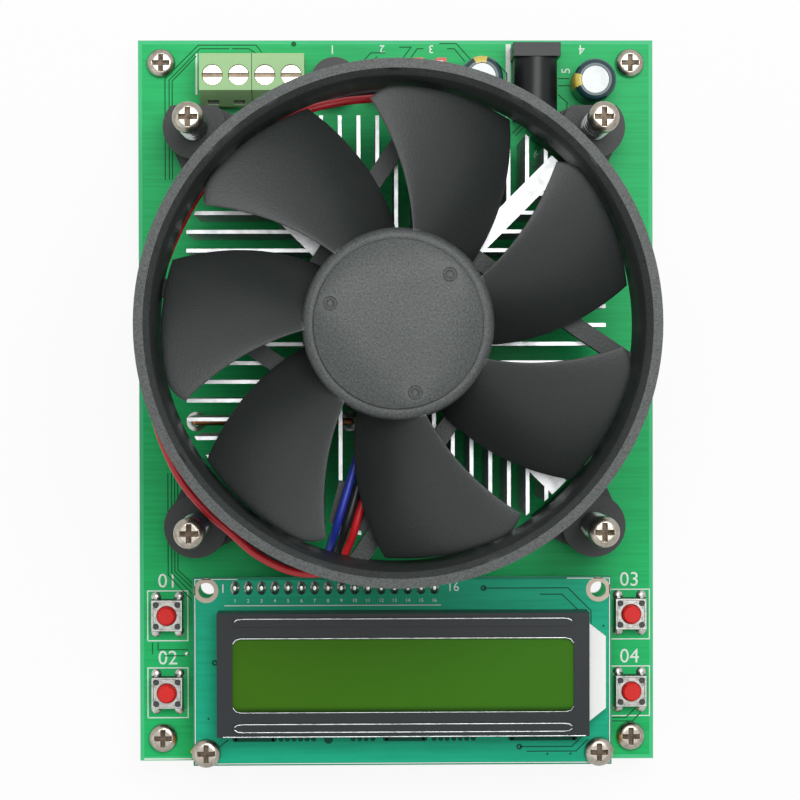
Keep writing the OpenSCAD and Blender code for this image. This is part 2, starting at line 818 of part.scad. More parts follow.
// Point on a blade: u runs from the trailing to the leading edge, v from hub to tip, side is -1 or 1
function blade_tip(u) = tip_r - tip_corner * pow(max(0, (u - 0.75) / 0.25), 3);
function blade_point(u, v, side) =
    let (r = mix(hub_r - blade_sink, blade_tip(u), v))
    let (a = mix(mix(trail_angle[0], trail_angle[1], v), mix(lead_angle[0], lead_angle[1], v), u))
    let (camber = mix(0.8, 1.6, v) * sin(180 * u))
    let (z = mix(mix(trail_z[0], trail_z[1], v), mix(lead_z[0], lead_z[1], v), u) + camber)
    let (half = blade_t * mix(0.75, 0.5, v) * (0.4 + 0.6 * sin(180 * mix(0.1, 0.9, u))))
    [r * cos(a), r * sin(a), z + side * half];

module fan_blade() {
    row = chord_steps + 1;
    sheet = row * (span_steps + 1);
    points = [for (side = [1, -1], j = [0:span_steps], i = [0:chord_steps])
        blade_point(i / chord_steps, j / span_steps, side)];
    top = [for (j = [0:span_steps - 1], i = [0:chord_steps - 1])
        let (a = j * row + i)
        each [[a, a + row + 1, a + row], [a, a + 1, a + row + 1]]];
    bottom = [for (f = top) [f[0] + sheet, f[2] + sheet, f[1] + sheet]];
    edge = concat(
        [for (i = [0:chord_steps - 1]) i],
        [for (j = [0:span_steps - 1]) j * row + chord_steps],
        [for (i = [chord_steps:-1:1]) span_steps * row + i],
        [for (j = [span_steps:-1:1]) j * row]);
    rim = [for (k = [0:len(edge) - 1])
        let (a = edge[k], b = edge[(k + 1) % len(edge)])
        each [[a, b + sheet, b], [a, a + sheet, b + sheet]]];
    polyhedron(points, concat(top, bottom, rim), convexity = 4);
}

module fan_rotor() {
    color("#303233")
        translate([cooler_x, cooler_y, 0])
            difference() {
                union() {
                    rotate_extrude()
                        polygon(concat(
                            [[hub_in_r, hub_z], [hub_r, hub_z]],
                            [for (a = [0:15:90]) [hub_r - hub_round + hub_round * cos(a),
                                hub_top - hub_round + hub_round * sin(a)]],
                            [[0, hub_top], [0, hub_top - hub_wall], [hub_in_r, hub_top - hub_wall]]));
                    rod(0, 0, hub_top - hub_wall - hub_boss_l, hub_boss_r, hub_boss_l + hub_wall / 2);
                    for (k = [0:blade_count - 1])
                        rotate(360 * k / blade_count)
                            fan_blade();
                }
                rod(0, 0, shaft_z, shaft_r + fit_gap, hub_top - hub_wall - shaft_z);
            }
}

module rotor_yoke() {
    yoke_top = hub_top - hub_wall;
    color("#8f9396")
        translate([cooler_x, cooler_y, 0])
            difference() {
                rod(0, 0, hub_z + 1, yoke_out_r, yoke_top - hub_z - 1);
                rod(0, 0, hub_z, yoke_out_r - yoke_t, yoke_top - yoke_t - hub_z);
                rod(0, 0, hub_z, hub_boss_r + fit_gap, hub_h);
            }
}

module rotor_magnet() {
    color("#4a4b4d")
        translate([cooler_x, cooler_y, magnet_z])
            difference() {
                cylinder(r = magnet_out_r, h = magnet_h);
                rod(0, 0, -cut, magnet_in_r, magnet_h + 2 * cut);
            }
}

module rotor_shaft() {
    color("silver")
        translate([cooler_x, cooler_y, 0])
            difference() {
                rod(0, 0, shaft_z, shaft_r, hub_top - hub_wall - shaft_z);
                difference() {
                    rod(0, 0, clip_z - fit_gap, shaft_r + cut, clip_t + 2 * fit_gap);
                    rod(0, 0, clip_z - cut, clip_groove_r, clip_t + 2 * cut);
                }
            }
}

module shaft_clip() {
    clip_r = tube_in_r - 0.4;
    color("#d8d8d2")
        translate([cooler_x, cooler_y, clip_z])
            difference() {
                cylinder(r = clip_r, h = clip_t);
                rod(0, 0, -cut, clip_groove_r + fit_gap, clip_t + 2 * cut);
                translate([0, -clip_groove_r * 0.7, -cut])
                    cube([clip_r + cut, clip_groove_r * 1.4, clip_t + 2 * cut]);
            }
}

module fan_bearing() {
    color("#b98b45")
        translate([cooler_x, cooler_y, bearing_z])
            difference() {
                cylinder(r = bearing_out_r, h = bearing_l);
                rod(0, 0, -cut, bearing_in_r, bearing_l + 2 * cut);
            }
}

module stator_core() {
    shoe_t = 1.6;
    yoke_r = tube_out_r + 2;
    slot_opening = 3.2;
    color("#77797c")
        translate([cooler_x, cooler_y, stator_z])
            linear_extrude(stator_h)
                difference() {
                    union() {
                        circle(r = yoke_r);
                        for (a = [0:360 / stator_poles:359])
                            rotate(a)
                                translate([0, -pole_w / 2])
                                    square([stator_r - shoe_t / 2, pole_w]);
                        difference() {
                            circle(r = stator_r);
                            circle(r = stator_r - shoe_t);
                            for (a = [0:360 / stator_poles:359])
                                rotate(a + 180 / stator_poles)
                                    translate([0, -slot_opening / 2])
                                        square([stator_r + cut, slot_opening]);
                        }
                    }
                    circle(r = tube_out_r + fit_gap);
                }
}

// One winding round each pole
module stator_coils() {
    coil_in_r = tube_out_r + 2.4;
    coil_l = stator_r - 2.2 - coil_in_r;
    wall = 0.1;
    color("#b5652b")
        translate([cooler_x, cooler_y, stator_z])
            for (a = [0:360 / stator_poles:359])
                rotate(a)
                    difference() {
                        translate([coil_in_r, -pole_w / 2 - coil_t, -coil_t])
                            cube([coil_l, pole_w + 2 * coil_t, stator_h + 2 * coil_t]);
                        translate([coil_in_r - cut, -pole_w / 2 - wall, -wall])
                            cube([coil_l + 2 * cut, pole_w + 2 * wall, stator_h + 2 * wall]);
                    }
}

module motor_board() {
    color("#2c7a46")
        translate([cooler_x, cooler_y, motor_board_z])
            difference() {
                cylinder(r = motor_board_r, h = motor_board_t);
                rod(0, 0, -cut, stator_seat_r + fit_gap, motor_board_t + 2 * cut);
            }
}

// Spring screws

module cooler_screws() {
    reach = spring_l + foot_h + board_t + nut_h + 1;
    color("silver")
        for (p = cooler_points)
            pan_screw(p, foot_top + spring_l, spring_head_r, spring_head_h, reach);
}

module cooler_springs() {
    steps = 10;
    rise = spring_l - spring_wire;
    turns = spring_turns;
    coil = [for (i = [0:turns * steps])
        [spring_r * cos(360 * i / steps), spring_r * sin(360 * i / steps),
            spring_wire / 2 + rise * i / (turns * steps)]];
    color("#c9ccce")
        for (p = cooler_points)
            translate([p[0], p[1], foot_top])
                swept_tube(coil, spring_wire / 2, 5, [0, 0, 1]);
}

module cooler_nuts() {
    color("silver")
        for (p = cooler_points)
            hex_bar(p, standoff_h - nut_h, standoff_flats, thread_r, nut_h);
}

// Screw terminals

module terminal_housing(n) {
    first = 2 * n;
    width = 2 * terminal_pitch;
    middle_x = (pole_x(first) + pole_x(first + 1)) / 2;
    shoulder_z = board_top + terminal_h * 0.42;
    chamber_w = cage_w + 2 * slide_gap;
    chamber_d = cage_d + 3 * slide_gap;
    entry_h = bar_z - cage_z - cage_floor;
    chamber_top = screw_seat_z - 0.05;
    color("#8fbf6a")
        difference() {
            translate([middle_x - width / 2, 0, 0])
                rotate([90, 0, 90])
                    linear_extrude(width)
                        polygon([
                            [terminal_front, board_top],
                            [terminal_front, board_top + terminal_h],
                            [terminal_front - terminal_flat, board_top + terminal_h],
                            [terminal_front - terminal_depth, shoulder_z],
                            [terminal_front - terminal_depth, board_top]]);
            for (i = [first, first + 1]) {
                rod(pole_x(i), pole_y, screw_seat_z - 0.1, terminal_head_r + 0.1, terminal_h);
                block(pole_x(i), pole_y, cage_z - slide_gap, chamber_w, chamber_d,
                    chamber_top - cage_z + slide_gap);
                translate([pole_x(i) - cage_w / 2, pole_y, cage_z + cage_floor])
                    cube([cage_w, pole_setback + cut, entry_h]);
                translate([pole_x(i) - bar_w / 2 - fit_gap, bar_back - fit_gap, board_top - cut])
                    cube([bar_w + 2 * fit_gap, pole_y - bar_back,
                        bar_z + bar_t + fit_gap - board_top + cut]);
                block(pole_x(i), terminal_front - terminal_depth + 1, board_top + terminal_h * 0.5,
                    2.2, 1.8, 1.6);
            }
        }
}

module terminal_housing_1() { terminal_housing(0); }
module terminal_housing_2() { terminal_housing(1); }

// Contact bar of each pole, with its leg through the board
module terminal_bars() {
    bar_l = pole_y + cage_d / 2 - bar_back;
    color("#c9b27a")
        for (i = [0:3])
            translate([pole_x(i), bar_back, 0]) {
                translate([-bar_w / 2, 0, bar_z])
                    cube([bar_w, bar_l, bar_t]);
                translate([-bar_leg_w / 2, 0, board_top - pin_drop])
                    cube([bar_leg_w, bar_leg_d, bar_z + bar_t - board_top + pin_drop]);
            }
}

// Slotted screw that stays in place and drives the cage
module terminal_screw(i) {
    slot_w = 0.8;
    tip_z = bar_z + bar_t + 0.05;
    color("silver")
        difference() {
            union() {
                rod(pole_x(i), pole_y, screw_seat_z, terminal_head_r, terminal_head_h);
                rod(pole_x(i), pole_y, tip_z, thread_r, screw_seat_z - tip_z + cut);
            }
            block(pole_x(i), pole_y, screw_seat_z + terminal_head_h - slot_w, 3 * terminal_head_r,
                slot_w, slot_w + cut);
        }
}

module terminal_screw_1() { terminal_screw(0); }
module terminal_screw_2() { terminal_screw(1); }
module terminal_screw_3() { terminal_screw(2); }
module terminal_screw_4() { terminal_screw(3); }

// Cage that climbs on the screw and lifts the wire against the bar
module terminal_cage(i) {
    color("#d9d4c4")
        difference() {
            block(pole_x(i), pole_y, cage_z, cage_w, cage_d, cage_h);
            block(pole_x(i), pole_y, cage_z + cage_floor, bar_w + slide_gap, cage_d + 2 * cut, window_h);
            rod(pole_x(i), pole_y, cage_z + cage_floor, thread_r + run_gap, cage_h);
        }
}

module terminal_cage_1() { terminal_cage(0); }
module terminal_cage_2() { terminal_cage(1); }
module terminal_cage_3() { terminal_cage(2); }
module terminal_cage_4() { terminal_cage(3); }

// Power jack

module jack_body() {
    barrel_l = jack_l - jack_flange;
    back = jack_front - jack_l;
    color("#1f2022")
        difference() {
            union() {
                block(jack_x, jack_front - jack_flange / 2, board_top, jack_w, jack_flange, jack_h);
                translate([jack_x, jack_front - jack_flange, jack_axis_z])
                    rotate([90, 0, 0])
                        cylinder(r = jack_barrel_r, h = barrel_l);
                block(jack_x, back + barrel_l / 2, board_top, 2 * jack_barrel_r, barrel_l,
                    jack_axis_z - board_top);
            }
            translate([jack_x, jack_front + cut, jack_axis_z])
                rotate([90, 0, 0])
                    cylinder(r = plug_r, h = plug_depth + cut);
            translate([jack_x, jack_front, jack_axis_z])
                rotate([90, 0, 0])
                    cylinder(r = jack_pin_r + fit_gap, h = jack_l + cut);
            block(jack_x, back, board_top - cut, jack_tail_w + 2 * slide_gap, 2 * (jack_tail_t + slide_gap),
                jack_axis_z - board_top + jack_pin_r + slide_gap + cut);
            block(jack_x, back + jack_spring_y, board_top - cut, 1.5 * jack_tail_w, 1.5 * jack_spring_t,
                jack_axis_z - plug_r - board_top + 2 * cut);
        }
}

// Centre pin with its tail, and the side contact
module jack_contacts() {
    tail = jack_pin_points()[0];
    spring = jack_pin_points()[1];
    pin_l = plug_depth - 0.8;
    color("#d0cdbf") {
        translate([jack_x, jack_front - plug_depth + pin_l, jack_axis_z])
            rotate([90, 0, 0])
                cylinder(r = jack_pin_r, h = pin_l + jack_l - plug_depth);
        block(tail[0], tail[1], board_top - pin_drop, jack_tail_w, jack_tail_t,
            pin_drop + jack_axis_z - board_top + jack_pin_r);
        block(spring[0], spring[1], board_top - pin_drop, jack_tail_w, jack_spring_t,
            pin_drop + jack_axis_z - board_top - plug_r - 0.1);
    }
}

// Capacitors, buzzer and fan socket

module capacitor_cans() {
    can_r = cap_r - sleeve_t - fit_gap;
    color("#d4d6d8")
        for (p = cap_points) {
            translate([p[0], p[1], board_top])
                rotate_extrude()
                    polygon([[0, 0.2], [can_r, 0.2], [can_r, 1.4], [can_r - 0.3, 1.8], [can_r, 2.2],
                        [can_r, cap_h - 1], [can_r - 0.32, cap_h - 0.53],
                        [can_r - 0.78, cap_h - sleeve_t], [0, cap_h - sleeve_t]]);
            for (s = [-1, 1])
                rod(p[0] + s * cap_lead, p[1], board_top - pin_drop, contact_r, pin_drop + 0.4);
        }
}

module capacitor_sleeves() {
    lip = 1.4;
    color("#1f3f4a")
        for (p = cap_points)
            translate([p[0], p[1], board_top])
                rotate_extrude()
                    polygon([[cap_r - sleeve_t, 0.1], [cap_r, 0.1], [cap_r, cap_h - 0.9],
                        [cap_r - 0.35, cap_h - 0.3], [cap_r - 0.9, cap_h], [cap_r - lip, cap_h],
                        [cap_r - lip, cap_h - sleeve_t], [cap_r - 0.98, cap_h - sleeve_t],
                        [cap_r - 0.5, cap_h - 0.46], [cap_r - sleeve_t, cap_h - 0.95]]);
}

module buzzer() {
    hole_r = 0.8;
    color("#2a2b2c") {
        difference() {
            rod(buzzer_point[0], buzzer_point[1], board_top, buzzer_r, buzzer_h);
            rod(buzzer_point[0], buzzer_point[1], board_top + buzzer_h - 1, hole_r, 1 + cut);
        }
        for (s = [-1, 1])
            rod(buzzer_point[0] + s * buzzer_pin, buzzer_point[1], board_top - pin_drop, contact_r,
                pin_drop + cut);
    }
}

module fan_socket() {
    pocket_w = socket_w - 2 * socket_wall;
    pocket_d = socket_d - 2 * socket_wall;
    color("#c22a22") {
        difference() {
            block(socket_point[0], socket_point[1], board_top, socket_w, socket_d, socket_h);
            block(socket_point[0], socket_point[1], board_top + socket_floor, pocket_w, pocket_d, socket_h);
            block(socket_point[0], socket_point[1] + socket_d / 2, board_top + 2.4, 2.4,
                2 * socket_wall + cut, socket_h);
        }
        for (i = [-1:1])
            rod(socket_point[0] + i * socket_pitch, socket_point[1], board_top - pin_drop,
                contact_r, pin_drop + socket_floor + 3);
    }
}

module fan_plug() {
    plug_w = socket_w - 2 * socket_wall - slide_gap;
    plug_d = socket_d - 2 * socket_wall - slide_gap;
    color("#e8e4da")
        difference() {
            block(socket_point[0], socket_point[1], board_top + socket_floor, plug_w, plug_d, plug_h);
            for (i = [-1:1])
                rod(socket_point[0] + i * socket_pitch, socket_point[1], board_top,
                    contact_r + 0.1, socket_floor + 3.4);
        }
}

// Fan leads: side is 1 for red, 0 for black and -1 for blue
module fan_lead(side) {
    swept_tube(lead_path(side), lead_r, lead_sides, [0, 0, 1]);
}

module fan_lead_red() { color("#c9202b") fan_lead(1); }
module fan_lead_black() { color("#222326") fan_lead(0); }
module fan_lead_blue() { color("#2a3f9c") fan_lead(-1); }

// Contrast trimmer and shunt

module contrast_trimmer() {
    color("#2f62b5") {
        difference() {
            block(trimmer_point[0], trimmer_point[1], board_top, trimmer_w, trimmer_w, trimmer_h);
            rod(trimmer_point[0], trimmer_point[1], board_top + trimmer_h - trimmer_recess - 1.2,
                trimmer_rotor_r + run_gap, trimmer_h);
        }
        for (i = [-1:1])
            rod(trimmer_point[0] + i * trimmer_pin, trimmer_point[1], board_top - pin_drop,
                contact_r, pin_drop + cut);
    }
}

module trimmer_rotor() {
    rotor_z = board_top + trimmer_h - trimmer_recess - 1.1;
    rotor_h = 1.6;
    slot_w = 0.6;
    color("#e7e2d2")
        difference() {
            rod(trimmer_point[0], trimmer_point[1], rotor_z, trimmer_rotor_r, rotor_h);
            block(trimmer_point[0], trimmer_point[1], rotor_z + rotor_h - slot_w,
                2.4 * trimmer_rotor_r, slot_w, 1);
        }
}

module shunt_wire() {
    z = board_top + shunt_lift;
    color("#8a5a3c")
        translate([shunt_point[0], shunt_point[1], 0]) {
            translate([-shunt_l / 2, 0, z])
                rotate([0, 90, 0])
                    cylinder(r = shunt_r, h = shunt_l);
            for (e = [-1, 1]) {
                translate([e * shunt_l / 2, 0, z])
                    sphere(r = shunt_r);
                rod(e * shunt_l / 2, 0, board_top - pin_drop, shunt_r, z - board_top + pin_drop);
            }
        }
}

// Chips under the display: controller, amplifier and regulator

// Legs along the two sides of a chip, flat on the board
module chip_legs(w, count, pitch) {
    leg_w = pitch * 0.4;
    reach = 1;
    for (s = [-1, 1], i = [0:count - 1])
        translate([(i - (count - 1) / 2) * pitch - leg_w / 2, s * (w / 2 + reach / 2) - reach / 2 - 0.1, 0])
            cube([leg_w, reach + 0.2, 0.3]);
}

module chip_body(w, l, h) {
    translate([-l / 2, -w / 2, 0.1])
        cube([l, w, h]);
}

module board_chips() {
    color("#1d1e20") {
        translate([lcd_x + controller_place[0], lcd_y + controller_place[1], board_top]) {
            chip_body(controller_w, controller_w, controller_h);
            for (a = [0, 90])
                rotate(a)
                    chip_legs(controller_w, 8, controller_pitch);
        }
        translate([lcd_x + amplifier_place[0], lcd_y + amplifier_place[1], board_top]) {
            chip_body(amplifier_w, amplifier_l, amplifier_h);
            chip_legs(amplifier_w, 4, amplifier_pitch);
        }
        translate([lcd_x + regulator_place[0], lcd_y + regulator_place[1], board_top]) {
            chip_body(regulator_w, regulator_l, regulator_h);
            chip_legs(regulator_w, 2, regulator_pitch);
        }
    }
}

// Keys

module key_bases() {
    well_r = button_flange_r + 0.15;
    well_z = key_cover_z - button_flange_t - button_travel - 0.6;
    color("#26282a")
        for (p = key_points) {
            difference() {
                block(p[0], p[1], board_top, key_w, key_w, key_h - cover_t);
                rod(p[0], p[1], well_z, well_r, key_h);
            }
            for (sx = [-1, 1], sy = [-1, 1])
                rod(p[0] + sx * rivet_place, p[1] + sy * rivet_place, key_cover_z - cut, rivet_r,
                    cut + cover_t + 0.15);
        }
}

module key_covers() {
    color("#b4b8ba")
        for (p = key_points)
            difference() {
                block(p[0], p[1], key_cover_z, key_w, key_w, cover_t);
                rod(p[0], p[1], key_cover_z - cut, button_r + 0.15, 2 * cut);
                for (sx = [-1, 1], sy = [-1, 1])
                    rod(p[0] + sx * rivet_place, p[1] + sy * rivet_place, key_cover_z - cut,
                        rivet_r + fit_gap, 2 * cut);
            }
}

module key_legs() {
    color("silver")
        for (p = key_points, sx = [-1, 1], sy = [-1, 1])
            block(p[0] + sx * key_leg_x, p[1] + sy * (key_w + key_leg_t) / 2, board_top - pin_drop,
                key_leg_w, key_leg_t, pin_drop + key_h / 2);
}

// Button with the flange that keeps it under the cover
module button(i) {
    p = key_points[i];
    top_z = key_cover_z + cover_t + button_rise;
    flange_z = key_cover_z - 0.15 - button_flange_t;
    color("#d21f1f") {
        rod(p[0], p[1], flange_z, button_flange_r, button_flange_t);
        translate([p[0], p[1], 0])
            rotate_extrude()
                polygon([[0, flange_z], [button_r, flange_z], [button_r, top_z - 0.3],
                    [button_r - 0.3, top_z], [0, top_z]]);
    }
}

module button_1() { button(0); }
module button_2() { button(1); }
module button_3() { button(2); }
module button_4() { button(3); }

// Display module

module lcd_pcb() {
    color("#1f7d55")
        difference() {
            block(lcd_x, lcd_y, lcd_z, lcd_w, lcd_l, lcd_t);
            for (p = lcd_holes)
                rod(p[0], p[1], lcd_z - cut, lcd_hole_r, lcd_t + 2 * cut);
            for (i = [0:lcd_pins - 1])
                rod(lcd_pin_x(i), pin_row_y, lcd_z - cut, pin_w * 0.8, lcd_t + 2 * cut);
        }
}

// Folded steel frame with a window, two pressed ribs and an open end for the backlight's tab
module lcd_bezel() {
    rib_w = 1.5;
    rib_h = 0.35;
    rib_y = (bezel_l + window_l) / 4 + 0.6;
    corner_r = 1.5;
    rib_end = 0.45 * rib_w;
    color("#2e3134") {
        difference() {
            block(lcd_x, lcd_y, lcd_top, bezel_w, bezel_l, bezel_h);
            block(lcd_x, lcd_y, lcd_top - cut, bezel_w - 2 * bezel_t, bezel_l - 2 * bezel_t,
                bezel_h - bezel_t + cut);
            translate([lcd_x, lcd_y, lcd_top])
                linear_extrude(bezel_h + cut)
                    polygon(rounded(window_w, window_l, corner_r));
            translate([lcd_x + bezel_w / 2 - 2 * bezel_t, lcd_y - bezel_l / 2 + 2, lcd_top - cut])
                cube([3 * bezel_t, bezel_l - 4, backlight_t + slide_gap + cut]);
        }
        for (s = [-1, 1])
            translate([lcd_x, lcd_y + s * rib_y, bezel_top - rib_h])
                linear_extrude(2 * rib_h)
                    polygon(rounded(window_w, rib_w, rib_end));
    }
}

module lcd_glass() {
    color("#8a9a2a")
        block(lcd_x, lcd_y, lcd_top + backlight_t, bezel_w - 2 * bezel_t - 2 * slide_gap,
            bezel_l - 2 * bezel_t - 2 * slide_gap, glass_t);
}

// Light guide under the glass, with its lamp tab out of the bezel's right end
module lcd_backlight() {
    guide_w = bezel_w - 2 * bezel_t - 2 * slide_gap;
    guide_l = bezel_l - 4 - 2 * slide_gap;
    tab_x = bezel_w / 2 + backlight_tab;
    tab_l = guide_l * 0.72;
    color("#ece9df")
        translate([lcd_x, lcd_y, lcd_top])
            linear_extrude(backlight_t)
                polygon([
                    [-guide_w / 2, -guide_l / 2], [bezel_w / 2, -guide_l / 2], [tab_x, -tab_l / 2],
                    [tab_x, tab_l / 2], [bezel_w / 2, guide_l / 2], [-guide_w / 2, guide_l / 2]]);
}

module lcd_header() {
    strip_l = lcd_pins * pin_pitch;
    strip_x = lcd_pin_x((lcd_pins - 1) / 2);
    color("#1c1d1f") {
        block(strip_x, pin_row_y, lcd_z - header_h, strip_l, header_h, header_h);
        for (i = [0:lcd_pins - 1])
            block(lcd_pin_x(i), pin_row_y, board_top + 1.4, pin_w, pin_w, lcd_top + 0.8 - board_top - 1.4);
    }
}

module lcd_socket() {
    strip_l = lcd_pins * pin_pitch;
    strip_x = lcd_pin_x((lcd_pins - 1) / 2);
    strip_h = lcd_lift - header_h;
    color("#202124") {
        difference() {
            block(strip_x, pin_row_y, board_top, strip_l, header_h, strip_h);
            for (i = [0:lcd_pins - 1])
                block(lcd_pin_x(i), pin_row_y, board_top + 1, pin_w + slide_gap, pin_w + slide_gap,
                    strip_h);
        }
        for (i = [0:lcd_pins - 1])
            rod(lcd_pin_x(i), pin_row_y, board_top - pin_drop, contact_r, pin_drop + cut);
    }
}

module lcd_standoffs() {
    color("#c9a24a")
        for (p = lcd_posts)
            hex_bar(p, board_top, standoff_flats, thread_r, lcd_lift);
}

// Screws into both ends of the display standoffs
module lcd_screws() {
    grip = lcd_lift / 2 - 0.6;
    color("silver")
        for (p = lcd_posts) {
            pan_screw(p, lcd_top, head_r, head_h, lcd_t + grip);
            translate([p[0], p[1], standoff_h])
                rotate([180, 0, 0])
                    pan_screw([0, 0], 0, head_r, head_h, board_t + grip);
        }
}

main_pcb();
board_standoffs();
corner_screws();
heatsink();
thermal_pad();
transistor_bodies();
transistor_metal();
fan_frame();
fan_rotor();
rotor_yoke();
rotor_magnet();
rotor_shaft();
shaft_clip();
fan_bearing();
stator_core();
stator_coils();
motor_board();
cooler_screws();
cooler_springs();
cooler_nuts();
terminal_housing_1();
terminal_housing_2();
terminal_bars();
terminal_screw_1();
terminal_screw_2();
terminal_screw_3();
terminal_screw_4();
terminal_cage_1();
terminal_cage_2();
terminal_cage_3();
terminal_cage_4();
jack_body();
jack_contacts();
capacitor_cans();
capacitor_sleeves();
buzzer();
fan_socket();
fan_plug();
fan_lead_red();
fan_lead_black();
fan_lead_blue();
contrast_trimmer();
trimmer_rotor();
shunt_wire();
board_chips();
key_bases();
key_covers();
key_legs();
button_1();
button_2();
button_3();
button_4();
lcd_pcb();
lcd_bezel();
lcd_glass();
lcd_backlight();
lcd_header();
lcd_socket();
lcd_standoffs();
lcd_screws();
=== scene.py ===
import bpy
import bmesh
import json
import math
import numpy as np
from mathutils import Matrix, Vector
from mathutils.geometry import delaunay_2d_cdt


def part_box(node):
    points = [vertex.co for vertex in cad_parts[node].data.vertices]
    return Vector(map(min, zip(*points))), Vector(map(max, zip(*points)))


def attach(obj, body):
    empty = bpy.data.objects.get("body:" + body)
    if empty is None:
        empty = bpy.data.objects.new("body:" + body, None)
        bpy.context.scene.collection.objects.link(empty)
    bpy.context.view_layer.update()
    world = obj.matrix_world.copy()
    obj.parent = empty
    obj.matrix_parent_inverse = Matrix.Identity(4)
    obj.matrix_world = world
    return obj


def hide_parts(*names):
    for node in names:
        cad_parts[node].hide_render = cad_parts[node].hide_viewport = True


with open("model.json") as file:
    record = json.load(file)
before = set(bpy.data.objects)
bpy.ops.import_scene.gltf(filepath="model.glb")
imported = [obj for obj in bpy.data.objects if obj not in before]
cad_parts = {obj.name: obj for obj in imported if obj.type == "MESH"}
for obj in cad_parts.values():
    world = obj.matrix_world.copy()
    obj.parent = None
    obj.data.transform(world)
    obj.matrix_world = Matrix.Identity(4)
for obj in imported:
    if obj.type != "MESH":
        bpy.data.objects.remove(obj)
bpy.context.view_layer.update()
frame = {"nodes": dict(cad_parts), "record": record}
cadNodes = frame["nodes"]
mm = 0.001
print("frame loaded with", len(cadNodes), "nodes")


# places that the pieces are built from, in millimetres, read from the frame
def nodeBox(node):
    low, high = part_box(node)
    return np.array(low) / mm, np.array(high) / mm


def nodeMiddle(node):
    low, high = nodeBox(node)
    return (low + high) / 2


boardLow, boardHigh = nodeBox("main_pcb")
boardTop = boardHigh[2]
displayLow, displayHigh = nodeBox("lcd_pcb")
displayTop = displayHigh[2]
sinkLow, sinkHigh = nodeBox("heatsink")
axisX, axisY = ((sinkLow + sinkHigh) / 2)[:2]
hubLow, hubHigh = nodeBox("fan_rotor")
fanTop = nodeBox("fan_frame")[1][2]
displayWindow = (64.5, 14.0)  # opening of the display frame
holeInset = 2.5  # display board's holes, in from its edges
boardHead, coolerHead = (2.75, 2.0), (2.9, 2.6)  # screw heads of the boards and of the cooler: radius, height


# faces of a grid of points, row by row, with either way closed into a loop
def gridFaces(rows, cols, closeRows=False, closeCols=False):
    i, j = np.meshgrid(np.arange(rows if closeRows else rows - 1),
                       np.arange(cols if closeCols else cols - 1), indexing="ij")
    nextRow, nextCol = (i + 1) % rows, (j + 1) % cols
    corners = [i * cols + j, i * cols + nextCol, nextRow * cols + nextCol, nextRow * cols + j]
    return np.stack(corners, axis=-1).reshape(-1, 4)


# profile of (radius, height) turned round an upright axis at (x, y): (r cos a, r sin a, z)
def turned(profile, x=0.0, y=0.0, steps=48):
    profile = np.asarray(profile, float)
    angle = np.linspace(0, 2 * np.pi, steps, endpoint=False)
    radius, height = profile[:, :1], profile[:, 1:]
    points = np.stack([x + radius * np.cos(angle), y + radius * np.sin(angle),
                       height + 0 * angle], axis=-1)
    return points.reshape(-1, 3), gridFaces(len(profile), steps, closeCols=True)


# round tube on a path: each ring is c + r (n cos a + b sin a), with n and b square to the path
def tubeOn(path, radius, sides=16, guide=(0.3, -0.2, 0.93)):
    path = np.asarray(path, float)
    along = np.gradient(path, axis=0)
    along /= np.linalg.norm(along, axis=1, keepdims=True)
    side = np.cross(along, np.asarray(guide, float))
    side /= np.linalg.norm(side, axis=1, keepdims=True)
    up = np.cross(side, along)
    angle = np.linspace(0, 2 * np.pi, sides, endpoint=False)
    radius = np.broadcast_to(np.asarray(radius, float), (len(path),))[:, None, None]
    rings = path[:, None] + radius * (side[:, None] * np.cos(angle)[None, :, None]
                                      + up[:, None] * np.sin(angle)[None, :, None])
    ends = np.array([np.arange(sides), np.arange(sides) + (len(path) - 1) * sides])
    return rings.reshape(-1, 3), [gridFaces(len(path), sides, closeCols=True), ends]


# flat ribbon along corners in the plane: offset each way by half its width, mitred at the bends
def ribbonOn(corners, width, z, height):
    corners = np.asarray(corners, float)
    run = np.diff(corners, axis=0)
    run /= np.linalg.norm(run, axis=1, keepdims=True)
    across = np.stack([-run[:, 1], run[:, 0]], axis=1)
    before, after = np.vstack([across[:1], across]), np.vstack([across, across[-1:]])
    mitre = (before + after) / (1 + np.sum(before * after, axis=1, keepdims=True))
    left, right = corners + mitre * width / 2, corners - mitre * width / 2
    level = np.full((len(corners), 1), z)
    rows = np.stack([np.hstack([left, level]), np.hstack([left, level + height]),
                     np.hstack([right, level + height]), np.hstack([right, level])], axis=1)
    count = len(corners)
    ends = np.array([[0, 1, 2, 3], [4 * count - 1, 4 * count - 2, 4 * count - 3, 4 * count - 4]])
    return rows.reshape(-1, 3), [gridFaces(count, 4, closeCols=True), ends]


# one mesh from several surfaces in millimetres, closed up, facing outwards and smooth up to an angle
def makePiece(name, surfaces, body, material, smoothAngle=40, weld=1e-6):
    points, faces, start = [], [], 0
    for surfacePoints, surfaceFaces in surfaces:
        groups = surfaceFaces if isinstance(surfaceFaces, list) else [surfaceFaces]
        for group in groups:
            faces += (np.asarray(group) + start).tolist()
        points.append(np.asarray(surfacePoints, float))
        start += len(surfacePoints)
    mesh = bpy.data.meshes.new(name)
    mesh.from_pydata((np.concatenate(points) * mm).tolist(), [], faces)
    work = bmesh.new()
    work.from_mesh(mesh)
    bmesh.ops.remove_doubles(work, verts=work.verts, dist=weld)
    bmesh.ops.recalc_face_normals(work, faces=work.faces)
    work.to_mesh(mesh)
    work.free()
    mesh.shade_smooth()
    mesh.set_sharp_from_angle(angle=math.radians(smoothAngle))
    piece = bpy.data.objects.new(name, mesh)
    bpy.context.scene.collection.objects.link(piece)
    mesh.materials.append(material)
    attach(piece, body)
    return piece


